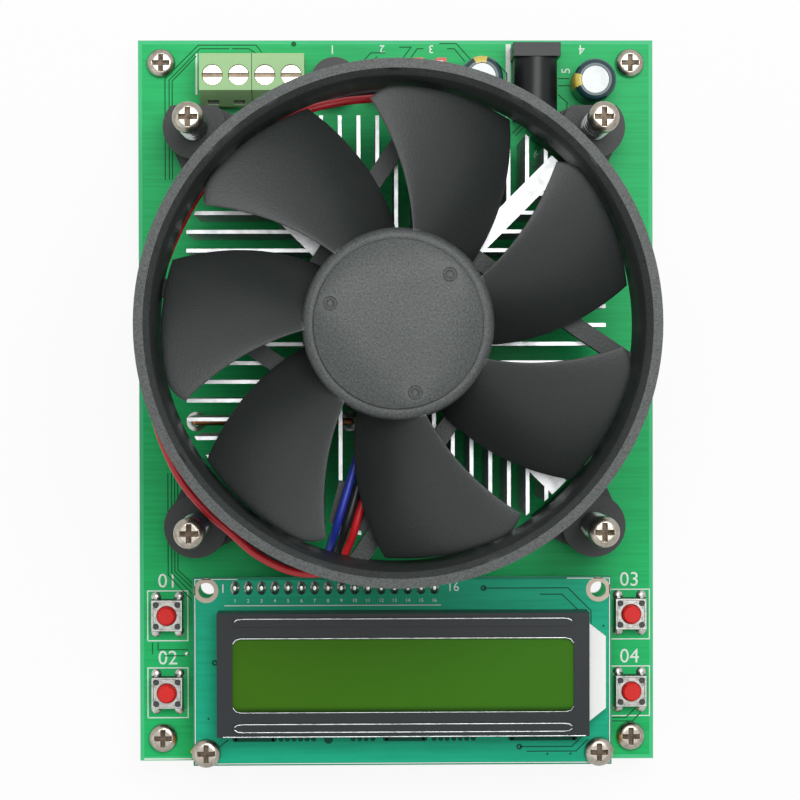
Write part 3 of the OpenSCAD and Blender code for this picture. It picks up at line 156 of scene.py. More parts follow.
# colour written as six hex digits, as light
def shade(hexCode):
    value = np.array([int(hexCode[i:i + 2], 16) for i in (0, 2, 4)]) / 255
    light = np.where(value <= 0.04045, value / 12.92, ((value + 0.055) / 1.055) ** 2.4)
    return (*light.tolist(), 1.0)


# noise in the shared groups: its detail, and where worn patches begin and are full
noiseSet = dict(grainDetail=3, grainMiddle=0.5, patchDetail=5, patchRough=0.65, patchFrom=0.42,
                patchFull=0.72, lineDetail=2)


# shader groups that several finishes share
def newGroup(name, inputs, outputs):
    group = bpy.data.node_groups.new(name, "ShaderNodeTree")
    for direction, sockets in (("INPUT", inputs), ("OUTPUT", outputs)):
        for socketName, kind in sockets:
            group.interface.new_socket(socketName, in_out=direction, socket_type=kind)
    return group, group.nodes.new("NodeGroupInput"), group.nodes.new("NodeGroupOutput")


# fine grain: noise at a scale, put out as a shade about 1 and as a height
def fineGrainGroup():
    group, given, result = newGroup(
        "fineGrain",
        [("Vector", "NodeSocketVector"), ("Scale", "NodeSocketFloat"), ("Depth", "NodeSocketFloat")],
        [("Shade", "NodeSocketFloat"), ("Height", "NodeSocketFloat")])
    add, link = group.nodes.new, group.links.new
    noise = add("ShaderNodeTexNoise")
    noise.inputs["Detail"].default_value = noiseSet["grainDetail"]
    centred = add("ShaderNodeMath")
    centred.operation = "SUBTRACT"
    centred.inputs[1].default_value = noiseSet["grainMiddle"]
    scaled = add("ShaderNodeMath")
    scaled.operation = "MULTIPLY_ADD"
    scaled.inputs[2].default_value = 1
    link(given.outputs["Vector"], noise.inputs["Vector"])
    link(given.outputs["Scale"], noise.inputs["Scale"])
    link(noise.outputs["Fac"], centred.inputs[0])
    link(centred.outputs[0], scaled.inputs[0])
    link(given.outputs["Depth"], scaled.inputs[1])
    link(scaled.outputs[0], result.inputs["Shade"])
    link(noise.outputs["Fac"], result.inputs["Height"])
    return group


# worn patches: broad noise sharpened into soft-edged patches, as a mask
def wornPatchGroup():
    group, given, result = newGroup(
        "wornPatch",
        [("Vector", "NodeSocketVector"), ("Scale", "NodeSocketFloat"), ("Amount", "NodeSocketFloat")],
        [("Mask", "NodeSocketFloat")])
    add, link = group.nodes.new, group.links.new
    noise = add("ShaderNodeTexNoise")
    noise.inputs["Detail"].default_value = noiseSet["patchDetail"]
    noise.inputs["Roughness"].default_value = noiseSet["patchRough"]
    ramp = add("ShaderNodeMapRange")
    ramp.interpolation_type = "SMOOTHSTEP"
    ramp.inputs["From Min"].default_value = noiseSet["patchFrom"]
    ramp.inputs["From Max"].default_value = noiseSet["patchFull"]
    link(given.outputs["Vector"], noise.inputs["Vector"])
    link(given.outputs["Scale"], noise.inputs["Scale"])
    link(noise.outputs["Fac"], ramp.inputs["Value"])
    link(given.outputs["Amount"], ramp.inputs["To Max"])
    link(ramp.outputs["Result"], result.inputs["Mask"])
    return group


# drawn lines: noise stretched along one way, as left by drawing, sawing or brushing
def drawnLineGroup():
    group, given, result = newGroup(
        "drawnLine",
        [("Vector", "NodeSocketVector"), ("Stretch", "NodeSocketVector")],
        [("Height", "NodeSocketFloat")])
    add, link = group.nodes.new, group.links.new
    stretch = add("ShaderNodeVectorMath")
    stretch.operation = "MULTIPLY"
    noise = add("ShaderNodeTexNoise")
    noise.inputs["Scale"].default_value = 1
    noise.inputs["Detail"].default_value = noiseSet["lineDetail"]
    link(given.outputs["Vector"], stretch.inputs[0])
    link(given.outputs["Stretch"], stretch.inputs[1])
    link(stretch.outputs[0], noise.inputs["Vector"])
    link(noise.outputs["Fac"], result.inputs["Height"])
    return group


# distance in from the edges of a rectangle in the plan, as on a circuit board
def edgeDistanceGroup():
    group, given, result = newGroup(
        "edgeDistance",
        [("Vector", "NodeSocketVector"), ("Middle", "NodeSocketVector"), ("Half", "NodeSocketVector")],
        [("Distance", "NodeSocketFloat")])
    add, link = group.nodes.new, group.links.new
    offset, size, inward = (add("ShaderNodeVectorMath") for _ in range(3))
    offset.operation, size.operation, inward.operation = "SUBTRACT", "ABSOLUTE", "SUBTRACT"
    parts, least = add("ShaderNodeSeparateXYZ"), add("ShaderNodeMath")
    least.operation = "MINIMUM"
    link(given.outputs["Vector"], offset.inputs[0])
    link(given.outputs["Middle"], offset.inputs[1])
    link(offset.outputs[0], size.inputs[0])
    link(given.outputs["Half"], inward.inputs[0])
    link(size.outputs[0], inward.inputs[1])
    link(inward.outputs[0], parts.inputs[0])
    link(parts.outputs["X"], least.inputs[0])
    link(parts.outputs["Y"], least.inputs[1])
    link(least.outputs[0], result.inputs["Distance"])
    return group


fineGrain = fineGrainGroup()
wornPatch = wornPatchGroup()
drawnLine = drawnLineGroup()
edgeDistance = edgeDistanceGroup()


# what a finish has where its own look says nothing else
plainLook = dict(rough=0.5, metal=0, gloss=0.5, grain=1500, mottle=0.15, patch=90, wear=0.25, dull=0.15,
                 relief=0.2, deep=0.05)


# a material's tree with its Principled shader, Object coordinates and helpers that add nodes
class Finish:
    def __init__(self, name, look):
        self.look = look = dict(plainLook, worn=look["colour"]) | look
        self.material = bpy.data.materials.new(name)
        self.material.use_nodes = True
        self.tree = self.material.node_tree
        self.shader = self.tree.nodes["Principled BSDF"]
        self.place = self.tree.nodes.new("ShaderNodeTexCoord").outputs["Object"]
        self.shader.inputs["Base Color"].default_value = shade(look["colour"])
        self.shader.inputs["Roughness"].default_value = look["rough"]
        self.shader.inputs["Metallic"].default_value = look["metal"]
        self.shader.inputs["Specular IOR Level"].default_value = look["gloss"]

    def add(self, kind):
        return self.tree.nodes.new(kind)

    def link(self, a, b):
        self.tree.links.new(a, b)

    def group(self, group, **values):
        node = self.add("ShaderNodeGroup")
        node.node_tree = group
        self.link(self.place, node.inputs["Vector"])
        for name, value in values.items():
            node.inputs[name].default_value = value
        return node

    # mixes colour b into colour a by a mask; a and b are sockets or hex codes
    def mix(self, mask, a, b, blend="MIX"):
        node = self.add("ShaderNodeMix")
        node.data_type = "RGBA"
        node.blend_type = blend
        for value, socket in ((mask, node.inputs[0]), (a, node.inputs[6]), (b, node.inputs[7])):
            if isinstance(value, str):
                socket.default_value = shade(value)
            elif isinstance(value, (int, float)):
                socket.default_value = value
            else:
                self.link(value, socket)
        return node.outputs[2]

    # smooth step of a value from 0 at low to 1 at high
    def step(self, value, low, high):
        node = self.add("ShaderNodeMapRange")
        node.interpolation_type = "SMOOTHSTEP"
        node.inputs["From Min"].default_value = low
        node.inputs["From Max"].default_value = high
        self.link(value, node.inputs["Value"])
        return node.outputs["Result"]

    # x, y and z of the place, by their letters
    def axes(self):
        node = self.add("ShaderNodeSeparateXYZ")
        self.link(self.place, node.inputs[0])
        return node.outputs

    # distance in from the plan outline of a box
    def inward(self, low, high):
        middle, half = (low + high) / 2 * mm, (high - low) / 2 * mm
        return self.group(edgeDistance, Middle=middle, Half=half).outputs["Distance"]

    # two values worked into one, such as by ADD or MULTIPLY
    def combine(self, operation, a, b):
        node = self.add("ShaderNodeMath")
        node.operation = operation
        self.link(a, node.inputs[0])
        self.link(b, node.inputs[1])
        return node.outputs[0]

    # 1 where a value lies within a distance of a middle
    def near(self, value, middle, half):
        node = self.add("ShaderNodeMath")
        node.operation = "COMPARE"
        node.inputs[1].default_value, node.inputs[2].default_value = middle, half
        self.link(value, node.inputs[0])
        return node.outputs[0]

    # grain in the colour, patches in the roughness and grain or lines in the relief
    def weather(self, colour=None):
        look, inputs = self.look, self.shader.inputs
        grain = self.group(fineGrain, Scale=look["grain"], Depth=look["mottle"])
        patch = self.group(wornPatch, Scale=look["patch"], Amount=look["wear"])
        base = colour if colour is not None else look["colour"]
        tinted = self.mix(1.0, base, grain.outputs["Shade"], "MULTIPLY")
        worn = self.mix(patch.outputs["Mask"], tinted, look["worn"])
        self.link(worn, inputs["Base Color"])
        rough = self.add("ShaderNodeMapRange")
        rough.inputs["To Min"].default_value = look["rough"]
        rough.inputs["To Max"].default_value = min(1.0, look["rough"] + look["dull"])
        self.link(patch.outputs["Mask"], rough.inputs["Value"])
        self.link(rough.outputs["Result"], inputs["Roughness"])
        relief = grain.outputs["Height"]
        if "lines" in look:
            relief = self.group(drawnLine, Stretch=look["lines"]).outputs["Height"]
        bump = self.add("ShaderNodeBump")
        bump.inputs["Strength"].default_value = look["relief"]
        bump.inputs["Distance"].default_value = look["deep"] * mm
        self.link(relief, bump.inputs["Height"])
        self.link(bump.outputs["Normal"], inputs["Normal"])
        return self.material


# one look for each of the record's material slots; grain and patch count per metre
looks = {
    "brass": dict(colour="C9A04A", metal=1, rough=0.26, worn="A8843C", lines=(400, 400, 4000)),
    "screw_steel": dict(colour="A8A297", metal=1, rough=0.27, worn="75695A", mottle=0.3, patch=700, wear=0.6),
    "spring_steel": dict(colour="C4C6C7", metal=1, rough=0.22, worn="8C8D8C"),
    "heatsink_aluminium": dict(colour="BCBEBF", metal=1, rough=0.42, worn="A4A7A8", lines=(3000, 3000, 60),
                               relief=0.25, patch=400, wear=0.5),
    "pad_grey": dict(colour="A9AEB4", rough=0.85, mottle=0.2),
    "chip_black": dict(colour="1D1E20", rough=0.5, grain=6000, mottle=0.3),
    "tinned": dict(colour="B9B9B4", metal=1, rough=0.3, worn="8D8B84", patch=700, wear=0.5),
    "motor_steel": dict(colour="9A9C9E", metal=1, rough=0.4, lines=(400, 400, 3000)),
    "ferrite": dict(colour="3A3B3D", rough=0.6, grain=4000, mottle=0.3),
    "copper_wire": dict(colour="B5652B", metal=1, rough=0.3, lines=(300, 300, 9000)),
    "bronze": dict(colour="B98B45", metal=1, rough=0.45, grain=5000),
    "jack_black": dict(colour="191B1C", rough=0.36, gloss=0.25, worn="2A2C2E", mottle=0.2),
    "can_aluminium": dict(colour="868989", metal=1, rough=0.42, worn="767979", lines=(2600, 120, 120),
                          relief=0.4),
    "sleeve_dark": dict(colour="163A40", rough=0.3, worn="1F4A50"),
    "socket_red": dict(colour="C4261E", rough=0.36, worn="D3443A"),
    "plug_white": dict(colour="E6E2D8", rough=0.45),
    "lead_red": dict(colour="C81D28", rough=0.38, worn="D83A40"),
    "lead_black": dict(colour="1E1F21", rough=0.36, worn="2E3032"),
    "lead_blue": dict(colour="2335A0", rough=0.38, worn="3247B5"),
    "trimmer_blue": dict(colour="2A5FB8", rough=0.4),
    "shunt_alloy": dict(colour="9A6240", metal=1, rough=0.32, worn="6E4630", patch=300),
    "key_black": dict(colour="242628", rough=0.5, grain=4000),
    "cover_steel": dict(colour="A2A29E", metal=1, rough=0.38, worn="6F6E69", patch=900, wear=0.6, mottle=0.3),
    "button_red": dict(colour="DC2420", rough=0.45, gloss=0.25, worn="E4382F", grain=3000),
    "bezel_black": dict(colour="272B2D", rough=0.36, gloss=0.2, grain=3500, mottle=0.12, worn="303437"),
    "backlight_white": dict(colour="F7F8F5", rough=0.4, mottle=0.04, worn="E6E8E3"),
}
finishes = {slotName: Finish(slotName, look).weather() for slotName, look in looks.items()}
print("plain finishes:", len(finishes))


# circuit board: coated green, another shade in a band inside the edge and raw laminate on the edge
boardSet = dict(streakStep=(0.35, 0.7), bandSoft=1.15, edgeStep=(0.02, 0.04))


def boardFinish(name, look, low, high):
    finish, s, band = Finish(name, look), boardSet, look["band"] * mm
    inward = finish.inward(low, high)
    streak = finish.group(drawnLine, Stretch=look["weave"]).outputs["Height"]
    coat = finish.mix(finish.step(streak, *s["streakStep"]), look["colour"], look["streak"])
    coat = finish.mix(finish.step(inward, band, band * s["bandSoft"]), look["bare"], coat)
    coat = finish.mix(finish.step(inward, *(edge * mm for edge in s["edgeStep"])), look["laminate"], coat)
    return finish.weather(coat)


boardLooks = {
    "board_green": (
        dict(colour="26BE6C", streak="21B364", bare="4CC988", laminate="5C9C72", band=0.7, rough=0.34,
             gloss=0.1, weave=(60, 1500, 200), mottle=0.05, grain=1800, worn="2DC473", wear=0.3, relief=0.06),
        boardLow, boardHigh),
    "display_board_green": (
        dict(colour="1CAE86", streak="18A47D", bare="138060", laminate="6FA98F", band=0.5, rough=0.3,
             gloss=0.1, weave=(70, 1300, 200), mottle=0.05, grain=1800, worn="23B68D", wear=0.3, relief=0.06),
        displayLow, displayHigh),
}
for slotName, (look, low, high) in boardLooks.items():
    finishes[slotName] = boardFinish(slotName, look, low, high)

# fan plastic: blasted grey on top of the hub and the rim, made lighter there as painted highlight; smoother
# and darker on the blades and below
fanLook = dict(colour="2B2F2E", blastedAndLit="474B4A", speck=2700, speckDepth=2.2, hubEdge=17.05, hubSoft=0.1,
               rimEdge=42.6, rimSoft=0.4, lightFrom=2.6, lightSoft=0.6, rough=0.46, gloss=0.34, grain=2600,
               mottle=0.5, relief=0.8, deep=0.08, worn="313534", wear=0.2)


def fanFinish():
    finish, look = Finish("fan_black", fanLook), fanLook
    flat, reach = finish.add("ShaderNodeVectorMath"), finish.add("ShaderNodeVectorMath")
    flat.operation, reach.operation = "MULTIPLY_ADD", "LENGTH"
    flat.inputs[1].default_value = (1, 1, 0)
    flat.inputs[2].default_value = (-axisX * mm, -axisY * mm, 0)
    finish.link(finish.place, flat.inputs[0])
    finish.link(flat.outputs[0], reach.inputs[0])
    radius, level = reach.outputs["Value"], fanTop - look["lightFrom"]
    beyond = finish.step(radius, look["rimEdge"] * mm, (look["rimEdge"] + look["rimSoft"]) * mm)
    within = finish.step(radius, look["hubEdge"] * mm, (look["hubEdge"] - look["hubSoft"]) * mm)
    high = finish.step(finish.axes()["Z"], (level - look["lightSoft"]) * mm, level * mm)
    # painted highlight: the tops of the hub and the rim get the lighter speckled grey, as if lit from above
    litTops = finish.combine("MULTIPLY", finish.combine("ADD", beyond, within), high)
    speck = finish.group(fineGrain, Scale=look["speck"], Depth=look["speckDepth"]).outputs["Shade"]
    blastedAndLit = finish.mix(1.0, look["blastedAndLit"], speck, "MULTIPLY")
    return finish.weather(finish.mix(litTops, look["colour"], blastedAndLit))


finishes["fan_black"] = fanFinish()

# terminal plastic: pale green, in shadow on the floors of its pockets and along the seam of the two blocks
terminalLook = dict(colour="A2CC90", shadow="1C3518", pocketAt=0.5, pocketHalf=0.1, wall=0.42, wallSoft=0.02,
                    seamHalf=0.07, rough=0.45, gloss=0.3, grain=2500, mottle=0.1, worn="A2CC90", relief=0.12)


def terminalFinish():
    finish, look = Finish("terminal_green", terminalLook), terminalLook
    lows, highs = zip(*(nodeBox("terminal_housing_%d" % k) for k in (1, 2)))
    low, high, seam = np.min(lows, axis=0), np.max(highs, axis=0), np.min(highs, axis=0)[0]
    pocket = low[2] + look["pocketAt"] * (high[2] - low[2])
    axes = finish.axes()
    level = finish.near(axes["Z"], pocket * mm, look["pocketHalf"] * mm)
    inside = finish.step(finish.inward(low, high), (look["wall"] - look["wallSoft"]) * mm, look["wall"] * mm)
    coat = finish.mix(finish.combine("MULTIPLY", level, inside), look["colour"], look["shadow"])
    coat = finish.mix(finish.near(axes["X"], seam * mm, look["seamHalf"] * mm), coat, look["shadow"])
    return finish.weather(coat)


# terminal screws: steel, in shadow from halfway down the slot
slottedLook = dict(looks["screw_steel"], shadow="4A4238", slotDrop=0.4)


def slottedFinish():
    finish, look = Finish("slottedScrew", slottedLook), slottedLook
    top = nodeBox("terminal_screw_1")[1][2]
    below = finish.step(finish.axes()["Z"], top * mm, (top - look["slotDrop"]) * mm)
    return finish.weather(finish.mix(below, look["colour"], look["shadow"]))


finishes["terminal_green"] = terminalFinish()
slottedScrew = slottedFinish()
nodeFinishes = {"terminal_screw_%d" % k: slottedScrew for k in range(1, 5)}

# display cell: dark yellow-green, with a painted shadow under the frame's near edge, and lighter towards one
# end
glassLook = dict(colour="3E6E15", bright="3C731A", shadow="1E3D0B", shadowDeep=1.2, rough=0.3, gloss=0.05,
                 mottle=0.05, grain=700, worn="3E6C1A", relief=0.03)


def glassFinish():
    finish, look = Finish("display_glass", glassLook), glassLook
    low, high = nodeBox("lcd_glass")
    edge = (low[1] + high[1]) / 2 - displayWindow[1] / 2
    axes = finish.axes()
    across = finish.step(axes["X"], low[0] * mm, high[0] * mm)
    inside = finish.step(axes["Y"], edge * mm, (edge + look["shadowDeep"]) * mm)
    cell = finish.mix(across, look["colour"], look["bright"])
    return finish.weather(finish.mix(inside, look["shadow"], cell))


finishes["display_glass"] = glassFinish()

# the CAD nodes keep their meshes: they get a finish and merged points, and all but the boards
# a small bevel with even shading
dressSet = dict(merge=1e-6, bevel=0.08, segments=2, angle=40)
bevelWidths = {"main_pcb": 0, "lcd_pcb": 0, "fan_frame": 0.25, "terminal_housing_1": 0.15,
               "terminal_housing_2": 0.15, "jack_body": 0.3, "lcd_bezel": 0.25, "heatsink": 0.08,
               "fan_socket": 0.15, "fan_plug": 0.2, "key_bases": 0.12, "contrast_trimmer": 0.2, "buzzer": 0.3,
               "board_standoffs": 0.15, "lcd_standoffs": 0.15}
nodeSlots = {row["node"]: row["material_slot"] for row in frame["record"]["subparts"]}
for node, cadPiece in cadNodes.items():
    cadPiece.data.materials.clear()
    cadPiece.data.materials.append(nodeFinishes.get(node, finishes[nodeSlots[node]]))
    merge = cadPiece.modifiers.new("merge", "WELD")
    merge.merge_threshold = dressSet["merge"]
    bevelWidth = bevelWidths.get(node, dressSet["bevel"])
    if not bevelWidth:
        continue
    rounding = cadPiece.modifiers.new("round", "BEVEL")
    rounding.width = bevelWidth * mm
    rounding.segments = dressSet["segments"]
    rounding.limit_method = "ANGLE"
    rounding.angle_limit = math.radians(dressSet["angle"])
    rounding.use_clamp_overlap = True
    even = cadPiece.modifiers.new("even", "WEIGHTED_NORMAL")
    even.keep_sharp = True
print("CAD nodes dressed:", len(cadNodes))


# fan rotor: a hub with a rounded edge and blades that sweep back from root to tip
rotorSet = dict(blades=7, hubRadius=17.0, hubWall=1.2, hubCorner=0.2, shoulder=2.2, hubSteps=120,
                tipRadius=42.0, tipCorner=2.2, cornerFrom=0.75, sink=0.5,
                leadAngle=(81.0, 97.0), trailAngle=(38.5, 61.0), leadDrop=(1.0, 0.8), trailRise=(1.2, 4.0),
                thick=1.3, thickShare=(0.75, 0.5), edgeThin=0.4, crown=(0.1, 0.9), camber=(0.8, 1.6),
                ovalPower=8, tipPower=40, spanPower=1.6, chordSteps=48, spanSteps=24,
                gates=3, gateRadius=12.5, gateTurn=43.5, gateSteps=32)
# radius and height of the step round the hub's flat, and of a gate mark: groove, ring and dot
hubStep = [(14.85, 0), (14.97, -0.1), (15.02, -0.8), (15.5, -0.72), (16.1, -0.8), (16.6, -1.1), (16.9, -1.6)]
gateForm = [(1.3, 0), (1.25, -0.35), (1.1, -0.35), (1.03, 0.03), (0.82, 0.03), (0.72, -0.12), (0.58, -0.2),
            (0.45, -0.18), (0.38, 0.04), (0, 0.05)]


def between(pair, t):
    return pair[0] + (pair[1] - pair[0]) * t


# blade section: u = (1 - cos t) / 2 runs out and back along the chord while the thickness follows
# a blunt oval, and v runs from hub to tip; angle, height and camber are mixed between root and tip
def bladeSurface(turn):
    s = rotorSet
    t = np.linspace(0, 2 * np.pi, 2 * s["chordSteps"], endpoint=False)
    v = 1 - (1 - np.linspace(0, 1, s["spanSteps"])) ** s["spanPower"]
    t, v = np.meshgrid(t, v)
    u = (1 - np.cos(t)) / 2
    oval = np.sign(np.sin(t)) * (1 - np.abs(2 * u - 1) ** s["ovalPower"]) ** 0.5
    tipRound = (1 - v ** s["tipPower"]) ** 0.5
    pastCorner = np.maximum(0, (u - s["cornerFrom"]) / (1 - s["cornerFrom"]))
    tip = s["tipRadius"] - s["tipCorner"] * pastCorner ** 3
    radius = between((s["hubRadius"] - s["sink"], tip), v)
    angle = between((between(s["trailAngle"], v), between(s["leadAngle"], v)), u) + turn
    low, high = between(s["trailRise"], v) + hubLow[2], hubHigh[2] - between(s["leadDrop"], v)
    height = between((low, high), u) + between(s["camber"], v) * np.sin(np.pi * u)
    swell = s["edgeThin"] + (1 - s["edgeThin"]) * np.sin(np.pi * between(s["crown"], u))
    half = s["thick"] * between(s["thickShare"], v) * swell
    angle = np.radians(angle)
    points = np.stack([axisX + radius * np.cos(angle), axisY + radius * np.sin(angle),
                       height + half * oval * tipRound], axis=-1)
    rows, cols = t.shape
    root = np.arange(cols)[None, :]
    return points.reshape(-1, 3), [gridFaces(rows, cols, closeCols=True), root]


# hub: a step round the flat, a rounded shoulder, a straight skirt and a hollow underside
def hubSurface():
    s = rotorSet
    outside, inside, ceiling = s["hubRadius"], s["hubRadius"] - s["hubWall"], hubHigh[2] - s["hubWall"]
    profile = np.vstack([np.array(hubStep) + (0, hubHigh[2]), [outside, hubHigh[2] - s["shoulder"]],
                         [outside, hubLow[2] + s["hubCorner"]], [outside - s["hubCorner"], hubLow[2]],
                         [inside, hubLow[2]], [inside, ceiling], [0, ceiling]])
    return turned(profile, axisX, axisY, s["hubSteps"])


# hub's flat: the disc inside the step with a round opening for each gate mark, and the marks that fill them
def flatSurfaces():
    s = rotorSet
    rim = turned([hubStep[0]], axisX, axisY, s["hubSteps"])[0]
    turns = np.radians(s["gateTurn"] + 360 / s["gates"] * np.arange(s["gates"]))
    gates = (axisX, axisY) + s["gateRadius"] * np.stack([np.cos(turns), np.sin(turns)], axis=1)
    marks = [turned(np.array(gateForm) + (0, hubHigh[2]), x, y, s["gateSteps"]) for x, y in gates]
    loops = [rim[:, :2]] + [points[:s["gateSteps"], :2] for points, faces in marks]
    starts = np.cumsum([0] + [len(loop) for loop in loops])
    edges = [(int(first + k), int(first + (k + 1) % len(loop))) for first, loop in zip(starts, loops)
             for k in range(len(loop))]
    filled = delaunay_2d_cdt([Vector(p) for p in np.concatenate(loops).tolist()], edges, [], 1, 1e-5)
    points, faces = np.array(filled[0]), np.array(filled[2])
    middles = points[faces].mean(axis=1)
    clear = np.linalg.norm(middles[:, None] - gates[None], axis=2).min(axis=1) > gateForm[0][0]
    level = np.full((len(points), 1), hubHigh[2])
    return [(np.hstack([points, level]), faces[clear])] + marks


def makeRotor():
    surfaces = [hubSurface()] + flatSurfaces()
    surfaces += [bladeSurface(360 * k / rotorSet["blades"]) for k in range(rotorSet["blades"])]
    rotor = makePiece("fanRotor", surfaces, "rotor", finishes["fan_black"], smoothAngle=50,
                      weld=1e-5)
    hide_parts("fan_rotor")


makeRotor()
print("fan rotor made")

# springs under the cooler screws: coils whose pitch is a little smaller near both ends
springSet = dict(mean=2.3, wire=0.9, turns=6.5, sides=12, stepsPerTurn=28, evenShare=0.8, endPower=0.75)


def makeSprings():
    s, headRadius = springSet, coolerHead[0]
    low, high = nodeBox("cooler_springs")
    screwLow, screwHigh = nodeBox("cooler_screws")
    places = [(x, y) for x in (screwLow[0] + headRadius, screwHigh[0] - headRadius)
              for y in (screwLow[1] + headRadius, screwHigh[1] - headRadius)]
    t = np.linspace(0, 1, int(s["turns"] * s["stepsPerTurn"]))
    span = high[2] - low[2] - s["wire"]
    # height along the coil: an even rise mixed with one that is slow at both ends
    wave = np.cos(np.pi * t)
    rise = 0.5 - 0.5 * np.sign(wave) * np.abs(wave) ** s["endPower"]
    rise = (1 - s["evenShare"]) * rise + s["evenShare"] * t
    surfaces = []
    for x, y in places:
        a = 2 * np.pi * s["turns"] * t
        path = np.stack([x + s["mean"] * np.cos(a), y + s["mean"] * np.sin(a),
                         low[2] + s["wire"] / 2 + span * rise], axis=1)
        surfaces.append(tubeOn(path, s["wire"] / 2, s["sides"], guide=(0, 0, 1)))
    springs = makePiece("coolerSprings", surfaces, "board", finishes["spring_steel"])
    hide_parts("cooler_springs")


makeSprings()
print("cooler springs made")

# fan leads: the middle lead's route round the cooler and down to the socket, and the step to the red lead
leadSet = dict(radius=0.75, sides=16, steps=320)
leadRound = [
    ((-3, -14.1, 3.6), (1.6, -0.3, 0)), ((-4.7, -20.7, 3.6), (1.6, -0.3, 0)),
    ((-6.5, -27.2, 3.6), (1.6, -0.3, 0)), ((-8.9, -35.2, 3.6), (1.6, -0.4, 0)),
    ((-10.3, -39.6, 1.6), (1.5, -0.5, 0.3)),
    ((-12.5, -43.6, -1.3), (0.9, -1.2, 0.8)), ((-18.5, -44.5, -3.7), (0, -0.9, 1.4)),
    ((-25.1, -41.8, -4.9), (-0.4, -0.6, 1.6)), ((-30.5, -37.8, -5.3), (-0.2, -0.2, 1.7)),
    ((-34.4, -34.4, -5.3), (-0.2, -0.2, 1.7)), ((-39.1, -28.4, -5.1), (-0.5, -0.2, 1.7)),
    ((-42.5, -20.2, -4.7), (-0.9, -0.2, 1.5)), ((-44.5, -12.2, -4.3), (-0.9, 0, 1.5)),
    ((-44.9, -4.2, -3.9), (-0.8, 0, 1.5)), ((-44.3, 3.8, -3.5), (-0.3, 0, 1.6)),
    ((-42.7, 11.2, -3.3), (0.2, 0, 1.7)),
    ((-39.9, 18.2, -3.3), (0.3, -0.1, 1.7)), ((-36, 24.9, -3.3), (0.2, -0.2, 1.7)),
    ((-30.9, 30.9, -3.3), (0.2, -0.2, 1.7)), ((-24.9, 35.8, -3.3), (0.2, -0.2, 1.7)),
    ((-17.9, 39.8, -3.3), (0.3, -0.7, 1.5)), ((-10.1, 42.2, -3.7), (0.2, -1.1, 1.3)),
    ((-2.5, 43.4, -5.3), (0.3, -1.3, 1)),
]
leadDrop = [
    ((-3.5, -3.7, 21), (1, -1.2, 0.4)), ((-0.5, -1.1, 14), (1.5, -0.6, 0)), ((0, 0, 7.6), (1.6, 0, 0)),
]


# smooth path through points: cubic pieces whose slope at a point is half the step between its neighbours
def smoothPath(points, steps):
    points = np.asarray(points, float)
    slope = np.gradient(points, axis=0)
    t = np.linspace(0, len(points) - 1, steps)
    i = np.minimum(t.astype(int), len(points) - 2)
    f = (t - i)[:, None]
    a, b, sa, sb = points[i], points[i + 1], slope[i], slope[i + 1]
    return ((1 + 2 * f) * (1 - f) ** 2 * a + f * (1 - f) ** 2 * sa
            + f * f * (3 - 2 * f) * b + f * f * (f - 1) * sb)


def makeLeads():
    socketMiddle = nodeMiddle("fan_socket")
    fromCooler = np.array([axisX, axisY, sinkHigh[2]])
    fromSocket = np.array([socketMiddle[0], socketMiddle[1], boardTop])
    for side, tint in ((1, "red"), (0, "black"), (-1, "blue")):
        route = [fromCooler + np.array(p) + side * np.array(q) for p, q in leadRound]
        route += [fromSocket + np.array(p) + side * np.array(q) for p, q in leadDrop]
        path = smoothPath(route, leadSet["steps"])
        lead = makePiece("fanLead" + tint.capitalize(), [tubeOn(path, leadSet["radius"], leadSet["sides"])],
                         "board", finishes["lead_" + tint], smoothAngle=60)
        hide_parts("fan_lead_" + tint)


makeLeads()
print("fan leads made")


# layers on the two boards: printing, the bare gaps beside the copper, ring pads and vias
layerSet = dict(sink=0.04, rise=0.02, printLine=0.2, gapLine=0.22, boxSize=(7.8, 9.7), boxDrop=0.3,
                numberSize=3.9, numberUp=6.4, smallNumber=2.4, pinNumber=0.95, pinNumberAt=-38.1,
                numberSteps=3, borderLine=0.16, borderIn=0.35, borderOpen=8.5, ringPad=2.35, ringBore=1.5,
                viaPad=0.57, viaBore=0.22, dot=0.22, spotSteps=36)
layerLooks = {
    "boardPrint": dict(colour="EEF4EE", rough=0.6, grain=6000, mottle=0.1, worn="C8E6D2", patch=800,
                       wear=0.45),
    "copperGap": dict(colour="166237", rough=0.5, gloss=0.12, mottle=0.08, worn="1B6E3F"),
    # dark green of the display's gaps, also used for the painted shadows of the frame's tabs
    "displayGapAndShadow": dict(colour="0E5440", rough=0.5, gloss=0.12, mottle=0.08, worn="126049"),
    "ringPad": dict(colour="C9BAA6", rough=0.42, grain=2500, mottle=0.08, worn="BBA98F", patch=300),
}
layers = {name: Finish(name, look).weather() for name, look in layerLooks.items()}


# mark on a board: a ribbon sunk a little into the surface and standing a little above it
def markOn(corners, width, top):
    return ribbonOn(corners, width, top - layerSet["sink"], layerSet["sink"] + layerSet["rise"])


# closed outline as a mark: it starts half a line before its first corner
def boxMark(x, y, width, depth, top):
    half, line = np.array([width, depth]) / 2, layerSet["printLine"]
    sides = np.array([[-1, -1], [1, -1], [1, 1], [-1, 1], [-1, -1]]) * half + (x, y)
    sides[0, 0] -= line / 2
    return markOn(sides, line, top)


# round mark or ring: a flat profile turned about its middle
def spotOn(x, y, radius, top, bore=0.0):
    low, high = top - layerSet["sink"], top + layerSet["rise"]
    profile = [(bore, low), (bore, high), (radius, high), (radius, low), (bore, low)]
    return turned(profile if bore else profile[:-1], x, y, layerSet["spotSteps"])


